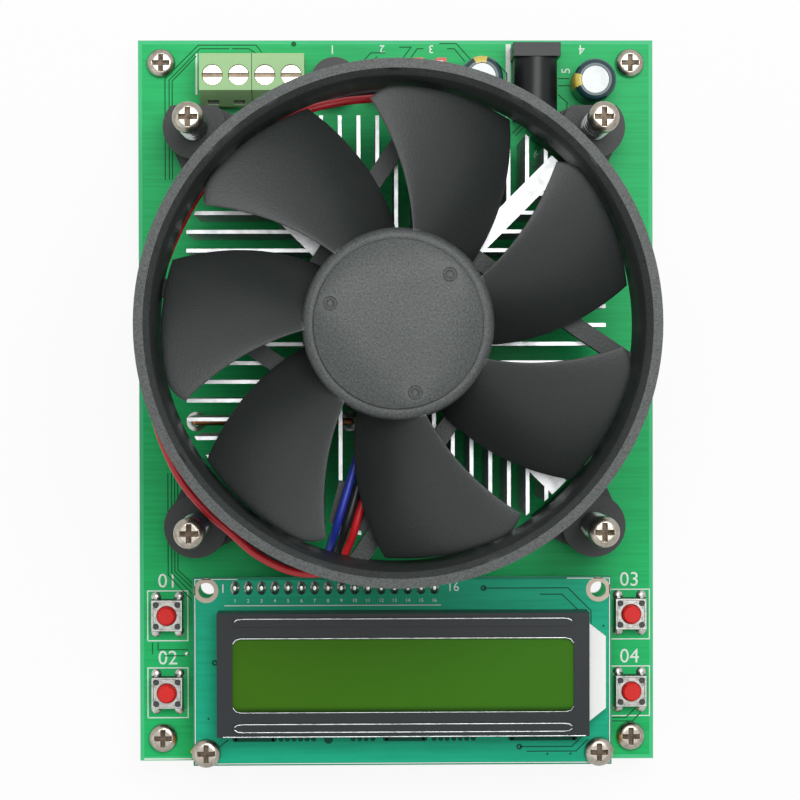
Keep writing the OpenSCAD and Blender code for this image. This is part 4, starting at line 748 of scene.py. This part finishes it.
# plain number: the outline of the font with a thickness, turned and set on a board
def numberOn(text, x, y, size, top, turn=0.0):
    curve = bpy.data.curves.new("number", "FONT")
    curve.body, curve.size, curve.resolution_u = text, size, layerSet["numberSteps"]
    curve.align_x, curve.align_y = "CENTER", "CENTER"
    curve.extrude = (layerSet["sink"] + layerSet["rise"]) / 2
    holder = bpy.data.objects.new("number", curve)
    mesh = bpy.data.meshes.new_from_object(holder)
    mesh.calc_loop_triangles()
    points, corners = np.empty(3 * len(mesh.vertices)), np.empty(3 * len(mesh.loop_triangles), int)
    mesh.vertices.foreach_get("co", points)
    mesh.loop_triangles.foreach_get("vertices", corners)
    bpy.data.objects.remove(holder)
    bpy.data.curves.remove(curve)
    bpy.data.meshes.remove(mesh)
    points, c, s = points.reshape(-1, 3), math.cos(math.radians(turn)), math.sin(math.radians(turn))
    points = points @ np.array([[c, s, 0], [-s, c, 0], [0, 0, 1]])
    return points + (x, y, top + (layerSet["rise"] - layerSet["sink"]) / 2), corners.reshape(-1, 3)


# middles of the four keys, from the buttons that stand in them, and of the display's pins
keyPlaces = [nodeMiddle("button_%d" % k)[:2] for k in range(1, 5)]
pinCount = 16
pinLow, pinHigh = nodeBox("lcd_header")
pinRow = np.linspace(pinLow[0], pinHigh[0], 2 * pinCount + 1)[1::2]

# gaps beside the tracks on the main board and on the display board, corner by corner
mainGaps = [
    [(-26, 67.7), (-27.1, 69.1), (-38.3, 69.1), (-44.8, 62.6), (-44.8, 43)],
    [(-27, 67.4), (-28.5, 68.4), (-31.8, 68.4)],
    [(-32.3, 68.4), (-38, 68.4), (-44, 62.3), (-44, 43)],
    [(-38.7, 67), (-43.4, 62.1), (-43.4, 43)],
    [(-8.7, 63.4), (-4.8, 67.6), (-2, 67.6)], [(-6.7, 63.4), (-3.6, 66.9)],
    [(0.7, 68.7), (3, 68.7), (1.5, 66.7)], [(3, 66.7), (4.2, 68.4), (5.4, 68.4)],
    [(10, 68.4), (11.4, 68.4), (13.5, 65.9)], [(8.5, 69.4), (11.8, 69.4), (15.1, 65.7)],
    [(20.2, 65.1), (21.6, 63.6), (21.6, 61.6)], [(31.6, 62.6), (33.8, 62.6)], [(31.6, 61.2), (34, 61.2)],
    [(31.6, 59.5), (33.4, 57.9), (33.2, 56.2)], [(22.7, 51.9), (25.2, 54.4)], [(23.3, 51.5), (26, 54.2)],
    [(27, 48.8), (29.1, 51.1)], [(27.5, 48.4), (29.7, 50.7)], [(24, 38.1), (31.8, 45.9)],
    [(24.8, 37.5), (32.6, 45.3)], [(28.9, 32.8), (35.7, 39.8)],
    [(-44.5, -14), (-44.5, -33.8), (-39.9, -38.8)], [(-43.8, -14), (-43.8, -33.4), (-39.9, -37.5)],
    [(-43.2, -14), (-43.2, -33.2), (-39.9, -36.3)], [(-42.6, -14), (-42.6, -32.9), (-39.9, -35.4)],
    [(-47.6, -47), (-47.6, -49.3)], [(-46.5, -47), (-46.5, -48.4), (-40.7, -48.4)],
    [(-45.3, -49.6), (-41.2, -49.6)],
    [(42, -62), (44.7, -62), (46.8, -59.9)], [(42, -62.7), (46, -62.7), (47.6, -61)],
]
displayGaps = [
    [(16.4, -35.8), (32.6, -35.8), (37, -40.2), (37, -44.2)], [(27.2, -37), (31.4, -37), (34.9, -40.4)],
    [(23.2, -66.2), (33.3, -66.2), (35.1, -64.4)], [(24.6, -67.1), (34.1, -67.1), (36.4, -64.8)],
    [(-32.4, -64.6), (-34.6, -66.4), (-34.6, -68.2)],
]
# plain numbers that stand where the boards are marked: text, x, y, size and turn
boardNumbers = [("1", -12.3, 68.1, 2.4, 0), ("2", -2.6, 68.4, 2.2, 180), ("3", 6.9, 68.4, 2.2, 180),
                ("4", 36.2, 68.3, 2.6, 180), ("5", 33.2, 64.1, 2.4, 90), ("6", 27.3, 47.8, 2.2, 0)]
# white lines on the main board, as corners and width, and a round gap, as place and radius
boardLines = [([(-38.7, 67.5), (-38.7, 59.5)], 0.35), ([(21.9, 69.3), (21.9, 55)], 0.95),
              ([boardLow[:2] + (0.7, 0.3), boardLow[:2] + (10, 0.3)], 0.25)]
boardSpot = (-19.8, 69.3, 0.5)
# display board: the numbers at the ends of the pins, the line beside them, vias and dots
displayNumbers = [("1", -33.4, -35.8), ("16", 10.6, -35.6)]
pinLine = [(-33.1, -39.0), (8.3, -39.0)]
displayVias = [(16.4, -35.8), (23.2, -66.2), (-35, -49.9)]
displayDots = [(-36.2, -60.6), (28.6, -67.6), (33, -67.6), (39.4, -43.1)]
# painted shadows of the display frame's tabs: dark marks in a row up from the display board's lower edge,
# round ones, long ones and a large one
tabShadowSet = dict(up=5.05, radius=0.5, pitch=1.25, rounds=((-22.4, -15.5), (-8.6, -4.2), (6.9, 14.5)),
              longs=((-31.2, -23.7), (-2.4, 5.1), (21.6, 33.9)), longWidth=1.0, large=(-13.3, -0.1, 0.85))


def tabShadowMarks():
    s = tabShadowSet
    row = displayLow[1] + s["up"]
    largeX, largeUp, largeRadius = s["large"]
    marks = [spotOn(x, row, s["radius"], displayTop) for first, last in s["rounds"]
             for x in np.arange(first, last, s["pitch"])]
    marks += [spotOn(largeX, row + largeUp, largeRadius, displayTop)]
    marks += [markOn([(first, row), (last, row)], s["longWidth"], displayTop) for first, last in s["longs"]]
    return marks + [spotOn(x, row, s["radius"], displayTop) for ends in s["longs"] for x in ends]


def makeLayers():
    s, low, high = layerSet, displayLow, displayHigh
    white = [boxMark(x, y - s["boxDrop"], *s["boxSize"], boardTop) for x, y in keyPlaces]
    white += [numberOn("0%d" % (k + 1), x, y + s["numberUp"], s["numberSize"], boardTop)
              for k, (x, y) in enumerate(keyPlaces)]
    white += [numberOn(text, x, y, size, boardTop, turn) for text, x, y, size, turn in boardNumbers]
    white += [markOn(line, width, boardTop) for line, width in boardLines]
    makePiece("boardPrint", white, "board", layers["boardPrint"])
    gaps = [markOn(line, s["gapLine"], boardTop) for line in mainGaps] + [spotOn(*boardSpot, boardTop)]
    makePiece("boardGaps", gaps, "board", layers["copperGap"])
    left, right = low[0] + s["borderIn"], high[0] - s["borderIn"]
    lower, upper = low[1] + s["borderIn"], high[1] - s["borderIn"]
    border = [(low[0] + s["borderOpen"], upper), (left, upper), (left, lower), (right, lower), (right, upper),
              (high[0] - s["borderOpen"], upper)]
    white = [markOn(line, s["borderLine"], displayTop) for line in (border, pinLine)]
    white += [numberOn(text, x, y, s["smallNumber"], displayTop) for text, x, y in displayNumbers]
    white += [numberOn(str(k + 1), x, s["pinNumberAt"], s["pinNumber"], displayTop)
              for k, x in enumerate(pinRow)]
    makePiece("displayPrint", white, "board", layers["boardPrint"])
    gaps = [markOn(line, s["gapLine"], displayTop) for line in displayGaps]
    gaps += [spotOn(x, y, s["viaPad"], displayTop, s["viaBore"]) for x, y in displayVias]
    gaps += [spotOn(x, y, s["dot"], displayTop) for x, y in displayDots]
    makePiece("displayGaps", gaps, "board", layers["displayGapAndShadow"])
    # painted shadows of the display frame's tabs, in the gaps' dark green
    makePiece("displayTabShadows", tabShadowMarks(), "board", layers["displayGapAndShadow"])
    rings = [spotOn(x, y, s["ringPad"], displayTop, s["ringBore"])
             for x in (low[0] + holeInset, high[0] - holeInset)
             for y in (low[1] + holeInset, high[1] - holeInset)]
    makePiece("displayRings", rings, "board", layers["ringPad"])


makeLayers()
print("printing and copper laid on the boards")


# solder: a joint round every pin, on the underside of the main board and on top of both boards
solderSet = dict(joint=0.5, rise=0.85, grip=0.8, cover=0.12, coverGrip=1.5, pinPad=0.95, pinRise=1.1,
                 oblong=1.4, keyPad=1.05, keyRise=0.45, keyReach=(2.28, 3.4), flare=2.2, peak=1.04, sink=0.05,
                 past=0.05, flankSteps=9, domeSteps=8, steps=24)
# nodes with pins through the main board, and those among them whose pins the solder covers
pinNodes = ("terminal_bars", "jack_contacts", "capacitor_cans", "buzzer", "fan_socket", "contrast_trimmer",
            "transistor_metal", "shunt_wire", "key_legs", "lcd_socket", "fan_plug")
coveredNodes = ("fan_socket", "contrast_trimmer", "buzzer", "lcd_socket")
# how far apart the points of one pin may lie
pinReach, widePins = 0.9, {"terminal_bars": 2.4, "jack_contacts": 2.4, "transistor_metal": 1.8}
# joints at the shunt's ends, and single pads as place, radius and height
shuntSet = dict(inset=0.8, pin=0.8, pad=1.9, rise=1.3)
singlePads = [(27.5, 45.6, 0.95, 0.5), (27.4, 39.6, 0.95, 0.5), (-40.9, -49.2, 0.4, 0.12)]


# middles and half widths of a node's pins beyond a level: its points there, gathered where they lie close
def pinPlaces(node, level, side, reach=pinReach):
    mesh = cadNodes[node].data
    points = np.empty(3 * len(mesh.vertices))
    mesh.vertices.foreach_get("co", points)
    points = points.reshape(-1, 3) / mm
    beyond = (points[:, 2] - level) * side > solderSet["past"]
    points = np.unique(points[beyond, :2].round(2), axis=0)
    near = np.linalg.norm(points[:, None] - points[None], axis=2) < reach
    group = np.arange(len(points))
    for _ in range(len(points)):
        least = np.where(near, group[None], len(points)).min(axis=1)
        if np.array_equal(least, group):
            break
        group = least
    for key in np.unique(group):
        low, high = points[group == key].min(axis=0), points[group == key].max(axis=0)
        yield (low + high) / 2, np.max(high - low) / 2


# joint: a cone with a hollow flank, r = pin + (pad - pin) (1 - t)^flare at height t
def jointAt(x, y, z, pin, pad, rise, side=1):
    s = solderSet
    t = np.linspace(0, 1, s["flankSteps"])
    radius = pin + (pad - pin) * (1 - t) ** s["flare"]
    flank = np.stack([radius, z + side * rise * t], axis=1)
    foot, top = z - side * s["sink"], z + side * rise * s["peak"]
    return turned(np.vstack([[(0, foot), (pad, foot)], flank, [(0, top)]]), x, y, s["steps"])


# pad with a low dome of solder: z = rise (1 - r^2) out to the pad's edge
def domeAt(x, y, z, radius, rise):
    s = solderSet
    t = np.linspace(1, 0, s["domeSteps"])
    dome = np.stack([radius * t, z + rise * (1 - t ** 2)], axis=1)
    foot = z - s["sink"]
    return turned(np.vstack([[(0, foot), (radius, foot)], dome]), x, y, s["steps"])


def makeSolder():
    s, under, surfaces = solderSet, boardLow[2], []
    for node in pinNodes:
        covered = node in coveredNodes
        rise = under - nodeBox(node)[0][2] + s["cover"] if covered else s["rise"]
        grip = s["coverGrip"] if covered else s["grip"]
        surfaces += [jointAt(*place, under, half * grip, half + s["joint"], rise, -1)
                     for place, half in pinPlaces(node, under, -1, widePins.get(node, pinReach))]
    print("joints under the board:", len(surfaces))
    for place, half in pinPlaces("lcd_header", displayTop, 1):
        points, faces = jointAt(*place, displayTop, half, s["pinPad"], s["pinRise"])
        points[:, 1] = place[1] + s["oblong"] * (points[:, 1] - place[1])
        surfaces.append((points, faces))
    reachX, reachY = s["keyReach"]
    surfaces += [domeAt(x + i * reachX, y + j * reachY, boardTop, s["keyPad"], s["keyRise"])
                 for x, y in keyPlaces for i in (-1, 1) for j in (-1, 1)]
    (low, high), inset = nodeBox("shunt_wire"), shuntSet["inset"]
    form = (shuntSet["pin"], shuntSet["pad"], shuntSet["rise"])
    surfaces += [jointAt(x, (low[1] + high[1]) / 2, boardTop, *form)
                 for x in (low[0] + inset, high[0] - inset)]
    surfaces += [domeAt(x, y, boardTop, radius, rise) for x, y, radius, rise in singlePads]
    makePiece("solderJoints", surfaces, "board", finishes["tinned"], smoothAngle=55)


makeSolder()
print("solder made")

# display frame: bright steel lines along the ribs' shoulders, the window's edge and the fold of the lower
# edge, partly bare cut steel and partly painted highlight on the paint's rounded edges
bezelSet = dict(line=0.13, thinLine=0.08, sides=8, corner=1.5, cornerShare=(0.35, 0.25),
                ribWidth=1.5, ribReach=9.95, ribShort=0.4, ribBend=0.5, ribSink=0.04,
                windowShort=0.1, windowBend=1.0, windowSink=0.08, thinSink=0.06,
                foldIn=0.14, foldEnds=(1.2, 0.8), foldSink=0.1)
highlightEdgeLook = dict(colour="B9BCBE", metal=1, rough=0.3, worn="6E7173", patch=500, wear=0.7)


# round line across the frame: straight for its reach to each side of x, with both ends bent through a corner
def bezelLine(x, y, z, bend, radius, reach):
    corner, (along, aside) = bezelSet["corner"], bezelSet["cornerShare"]
    end = np.array([(reach, y - bend, z), (reach - along * corner, y - aside * bend, z),
                    (reach - corner, y, z)])
    path = np.vstack([end * (-1, 1, 1), [(0, y, z)], end[::-1]]) + (x, 0, 0)
    return tubeOn(path, radius, bezelSet["sides"])


def makeBezelHighlights():
    s = bezelSet
    low, high = nodeBox("lcd_bezel")
    (x, y), top = ((low + high) / 2)[:2], high[2]
    ribHalf, (windowHalf, windowDeep) = s["ribWidth"] / 2, np.array(displayWindow) / 2
    upperRib, lowerRib = y + s["ribReach"], y - s["ribReach"]
    ribZ, windowZ, thinZ = top - s["ribSink"], top - s["windowSink"], top - s["thinSink"]
    ribReach, windowReach = windowHalf - s["ribShort"], windowHalf - s["windowShort"]
    foldY, foldZ, (foldLeft, foldRight) = low[1] + s["foldIn"], top - s["foldSink"], s["foldEnds"]
    fold = [(low[0] + foldLeft, foldY, foldZ), (high[0] - foldRight, foldY, foldZ)]
    lines = [
        bezelLine(x, upperRib + ribHalf, ribZ, s["ribBend"], s["line"], ribReach),
        bezelLine(x, lowerRib + ribHalf, ribZ, s["ribBend"], s["line"], ribReach),
        bezelLine(x, lowerRib - ribHalf, ribZ, -s["ribBend"], s["line"], ribReach),
        bezelLine(x, y + windowDeep, windowZ, s["windowBend"], s["line"], windowReach),
        bezelLine(x, y - windowDeep, thinZ, -s["windowBend"], s["thinLine"], windowReach),
        tubeOn(fold, s["line"], s["sides"]),
    ]
    finish = Finish("bezelHighlightSteel", highlightEdgeLook).weather()
    makePiece("bezelHighlightLines", lines, "board", finish, smoothAngle=60)


makeBezelHighlights()
print("display frame's edges made")

# screws: painted shade in each cross recess, a dark bar with an arm each side at the recess floor; all goes
# by the head's radius
recessSet = dict(floor=0.4, lower=0.05, width=0.33, reach=0.6, thick=0.25)
recessShadeLook = dict(colour="5E5347", metal=1, rough=0.5, worn="3C342B", patch=900, wear=0.8)


def makeRecessShade():
    s, bars, heads = recessSet, [], []
    for node, (radius, height) in (("corner_screws", boardHead), ("cooler_screws", coolerHead)):
        low, high = nodeBox(node)
        heads.append((low[:2] + radius, high[:2] - radius, high[2], radius, height))
    first = displayLow[:2] + holeInset
    heads.append((first, (displayHigh[0] - holeInset, first[1]), nodeBox("lcd_screws")[1][2], *boardHead))
    for low, high, top, radius, height in heads:
        floor = top - (1 - s["floor"]) * height - s["lower"]
        reach, width = s["reach"] * radius, s["width"] * radius
        for x in (low[0], high[0]):
            for y in np.unique((low[1], high[1])):
                lines = ([(x - reach, y), (x + reach, y)], [(x, y - reach), (x, y - width / 2)],
                         [(x, y + width / 2), (x, y + reach)])
                bars += [ribbonOn(line, width, floor, s["thick"]) for line in lines]
    makePiece("recessShadeBars", bars, "board", Finish("recessShadeSteel", recessShadeLook).weather())


makeRecessShade()
print("screw recesses made")

# capacitors: a printed band on the sleeve and a pressed vent on the can's top
canSet = dict(radius=4.0, foot=0.6, shoulder=0.9, shoulderMid=(0.35, 0.3), lip=1.3, stand=0.03,
              bandDeep=(0.1, 0.12), bandHalf=20, bandTurns=(95, 182), ventArms=4, ventTurns=(52, 64),
              ventReach=(0.15, 2.3), ventWidth=0.16, ventSink=0.05, ventThick=0.07)
canLooks = {
    "sleeveBand": dict(colour="D9C65C", rough=0.36, mottle=0.1, worn="C8B44A"),
    "pressedVent": dict(colour="8D9191", metal=1, rough=0.45, worn="7A7E7E"),
}
canFinishes = {name: Finish(name, look).weather() for name, look in canLooks.items()}


# closed profile carried through part of a turn about an upright axis, with both ends capped
def arcOf(profile, x, y, start, end, steps=16):
    profile = np.asarray(profile, float)
    angle = np.radians(np.linspace(start, end, steps))[:, None]
    points = np.stack([x + profile[:, 0] * np.cos(angle), y + profile[:, 0] * np.sin(angle),
                       profile[:, 1] + 0 * angle], axis=-1)
    count = len(profile)
    ends = np.array([np.arange(count), np.arange(count) + (steps - 1) * count])
    return points.reshape(-1, 3), [gridFaces(steps, count, closeCols=True), ends]


def makeCanMarks():
    s, r = canSet, canSet["radius"]
    low, high = nodeBox("capacitor_sleeves")
    places = np.array([(low[0] + r, high[1] - r), (high[0] - r, low[1] + r)])
    top, (midIn, midDown) = high[2], s["shoulderMid"]
    outer = np.array([(r, low[2] + s["foot"]), (r, top - s["shoulder"]), (r - midIn, top - midDown),
                      (r - s["shoulder"], top), (r - s["lip"], top)])
    band = np.vstack([outer + s["stand"], (outer - s["bandDeep"])[::-1]])
    bands = [arcOf(band, *place, turn - s["bandHalf"], turn + s["bandHalf"])
             for place, turn in zip(places, s["bandTurns"])]
    makePiece("sleeveBands", bands, "board", canFinishes["sleeveBand"])
    ventFloor, vents = nodeBox("capacitor_cans")[1][2] - s["ventSink"], []
    for place, turn in zip(places, s["ventTurns"]):
        for arm in range(s["ventArms"]):
            angle = math.radians(turn + 360 / s["ventArms"] * arm)
            way = np.array([math.cos(angle), math.sin(angle)])
            line = [place + reach * way for reach in s["ventReach"]]
            vents.append(ribbonOn(line, s["ventWidth"], ventFloor, s["ventThick"]))
    makePiece("pressedVents", vents, "board", canFinishes["pressedVent"])


makeCanMarks()
print("capacitors marked")


# camera above the board, set from where the edges and the fan ring stand in the picture
cameraSet = dict(place=(-9.05, 7.0), above=530.0, aim=(0.7, 0.1), lens=122.5, sensor=36.0, roll=-0.13, far=10)


def placeCamera():
    data = bpy.data.cameras.new("camera")
    data.lens = cameraSet["lens"]
    data.sensor_width = cameraSet["sensor"]
    data.clip_end = cameraSet["far"]
    camera = bpy.data.objects.new("camera", data)
    eye = Vector((*cameraSet["place"], boardTop + cameraSet["above"])) * mm
    target = Vector((*cameraSet["aim"], boardTop)) * mm
    ahead = (target - eye).normalized()
    right = ahead.cross(Vector((0, 1, 0))).normalized()
    up = right.cross(ahead)
    turn = Matrix((right, up, -ahead)).transposed()
    turn = turn @ Matrix.Rotation(math.radians(cameraSet["roll"]), 3, "Z")
    camera.matrix_world = Matrix.Translation(eye) @ turn.to_4x4()
    bpy.context.scene.collection.objects.link(camera)
    bpy.context.scene.camera = camera


placeCamera()

# pale floor, white to the camera but still carrying the object's shadow
floorSet = dict(half=4.0, colour=(0.9, 0.9, 0.9, 1), rough=0.9, gloss=0.1, white=0.9)
# white surroundings: their strength as light and as they are seen
worldSet = dict(light=0.36, seen=1.0)
lampSet = {
    "keyLamp": dict(place=(0.06, 0.14, 0.55), size=0.3, power=1.95),
    "fillLamp": dict(place=(-0.9, -0.4, 0.9), size=0.9, power=1.3),
    "topLamp": dict(place=(0.06, 0.14, 1.3), size=0.75, power=1.0),
}


# 1 on rays from the camera, from a mirror or through glass
def seenDirectly(tree):
    path = tree.nodes.new("ShaderNodeLightPath")
    first, both = tree.nodes.new("ShaderNodeMath"), tree.nodes.new("ShaderNodeMath")
    first.operation = both.operation = "MAXIMUM"
    tree.links.new(path.outputs["Is Camera Ray"], first.inputs[0])
    tree.links.new(path.outputs["Is Glossy Ray"], first.inputs[1])
    tree.links.new(first.outputs[0], both.inputs[0])
    tree.links.new(path.outputs["Is Transmission Ray"], both.inputs[1])
    return both.outputs[0]


def makeFloor():
    half = floorSet["half"]
    points = np.array([[-half, -half, 0], [half, -half, 0], [half, half, 0], [-half, half, 0]])
    mesh = bpy.data.meshes.new("floor")
    mesh.from_pydata(points.tolist(), [], [[0, 1, 2, 3]])
    floor = bpy.data.objects.new("floor", mesh)
    bpy.context.scene.collection.objects.link(floor)
    material = bpy.data.materials.new("floorPaper")
    material.use_nodes = True
    tree = material.node_tree
    shader = tree.nodes["Principled BSDF"]
    shader.inputs["Base Color"].default_value = floorSet["colour"]
    shader.inputs["Roughness"].default_value = floorSet["rough"]
    shader.inputs["Specular IOR Level"].default_value = floorSet["gloss"]
    glow, blend, scale = (tree.nodes.new(kind) for kind in
                          ("ShaderNodeEmission", "ShaderNodeMixShader", "ShaderNodeMath"))
    scale.operation = "MULTIPLY"
    scale.inputs[1].default_value = floorSet["white"]
    tree.links.new(seenDirectly(tree), scale.inputs[0])
    tree.links.new(scale.outputs[0], blend.inputs[0])
    tree.links.new(shader.outputs[0], blend.inputs[1])
    tree.links.new(glow.outputs[0], blend.inputs[2])
    tree.links.new(blend.outputs[0], tree.nodes["Material Output"].inputs["Surface"])
    mesh.materials.append(material)


def makeWorld():
    world = bpy.data.worlds.new("studio")
    bpy.context.scene.world = world
    world.use_nodes = True
    tree = world.node_tree
    back = tree.nodes["Background"]
    back.inputs["Color"].default_value = (1, 1, 1, 1)
    strength = tree.nodes.new("ShaderNodeMapRange")
    strength.inputs["To Min"].default_value = worldSet["light"]
    strength.inputs["To Max"].default_value = worldSet["seen"]
    tree.links.new(seenDirectly(tree), strength.inputs["Value"])
    tree.links.new(strength.outputs["Result"], back.inputs["Strength"])


def makeLamp(name, place, size, power):
    data = bpy.data.lights.new(name, "AREA")
    data.size = size
    data.energy = power
    lamp = bpy.data.objects.new(name, data)
    lamp.location = place
    lamp.rotation_euler = (-Vector(place)).to_track_quat("-Z", "Y").to_euler()
    bpy.context.scene.collection.objects.link(lamp)


makeFloor()
makeWorld()
for name, lamp in lampSet.items():
    makeLamp(name, **lamp)
bpy.context.scene.view_settings.view_transform = "Standard"
print("camera, floor and lamps in place")
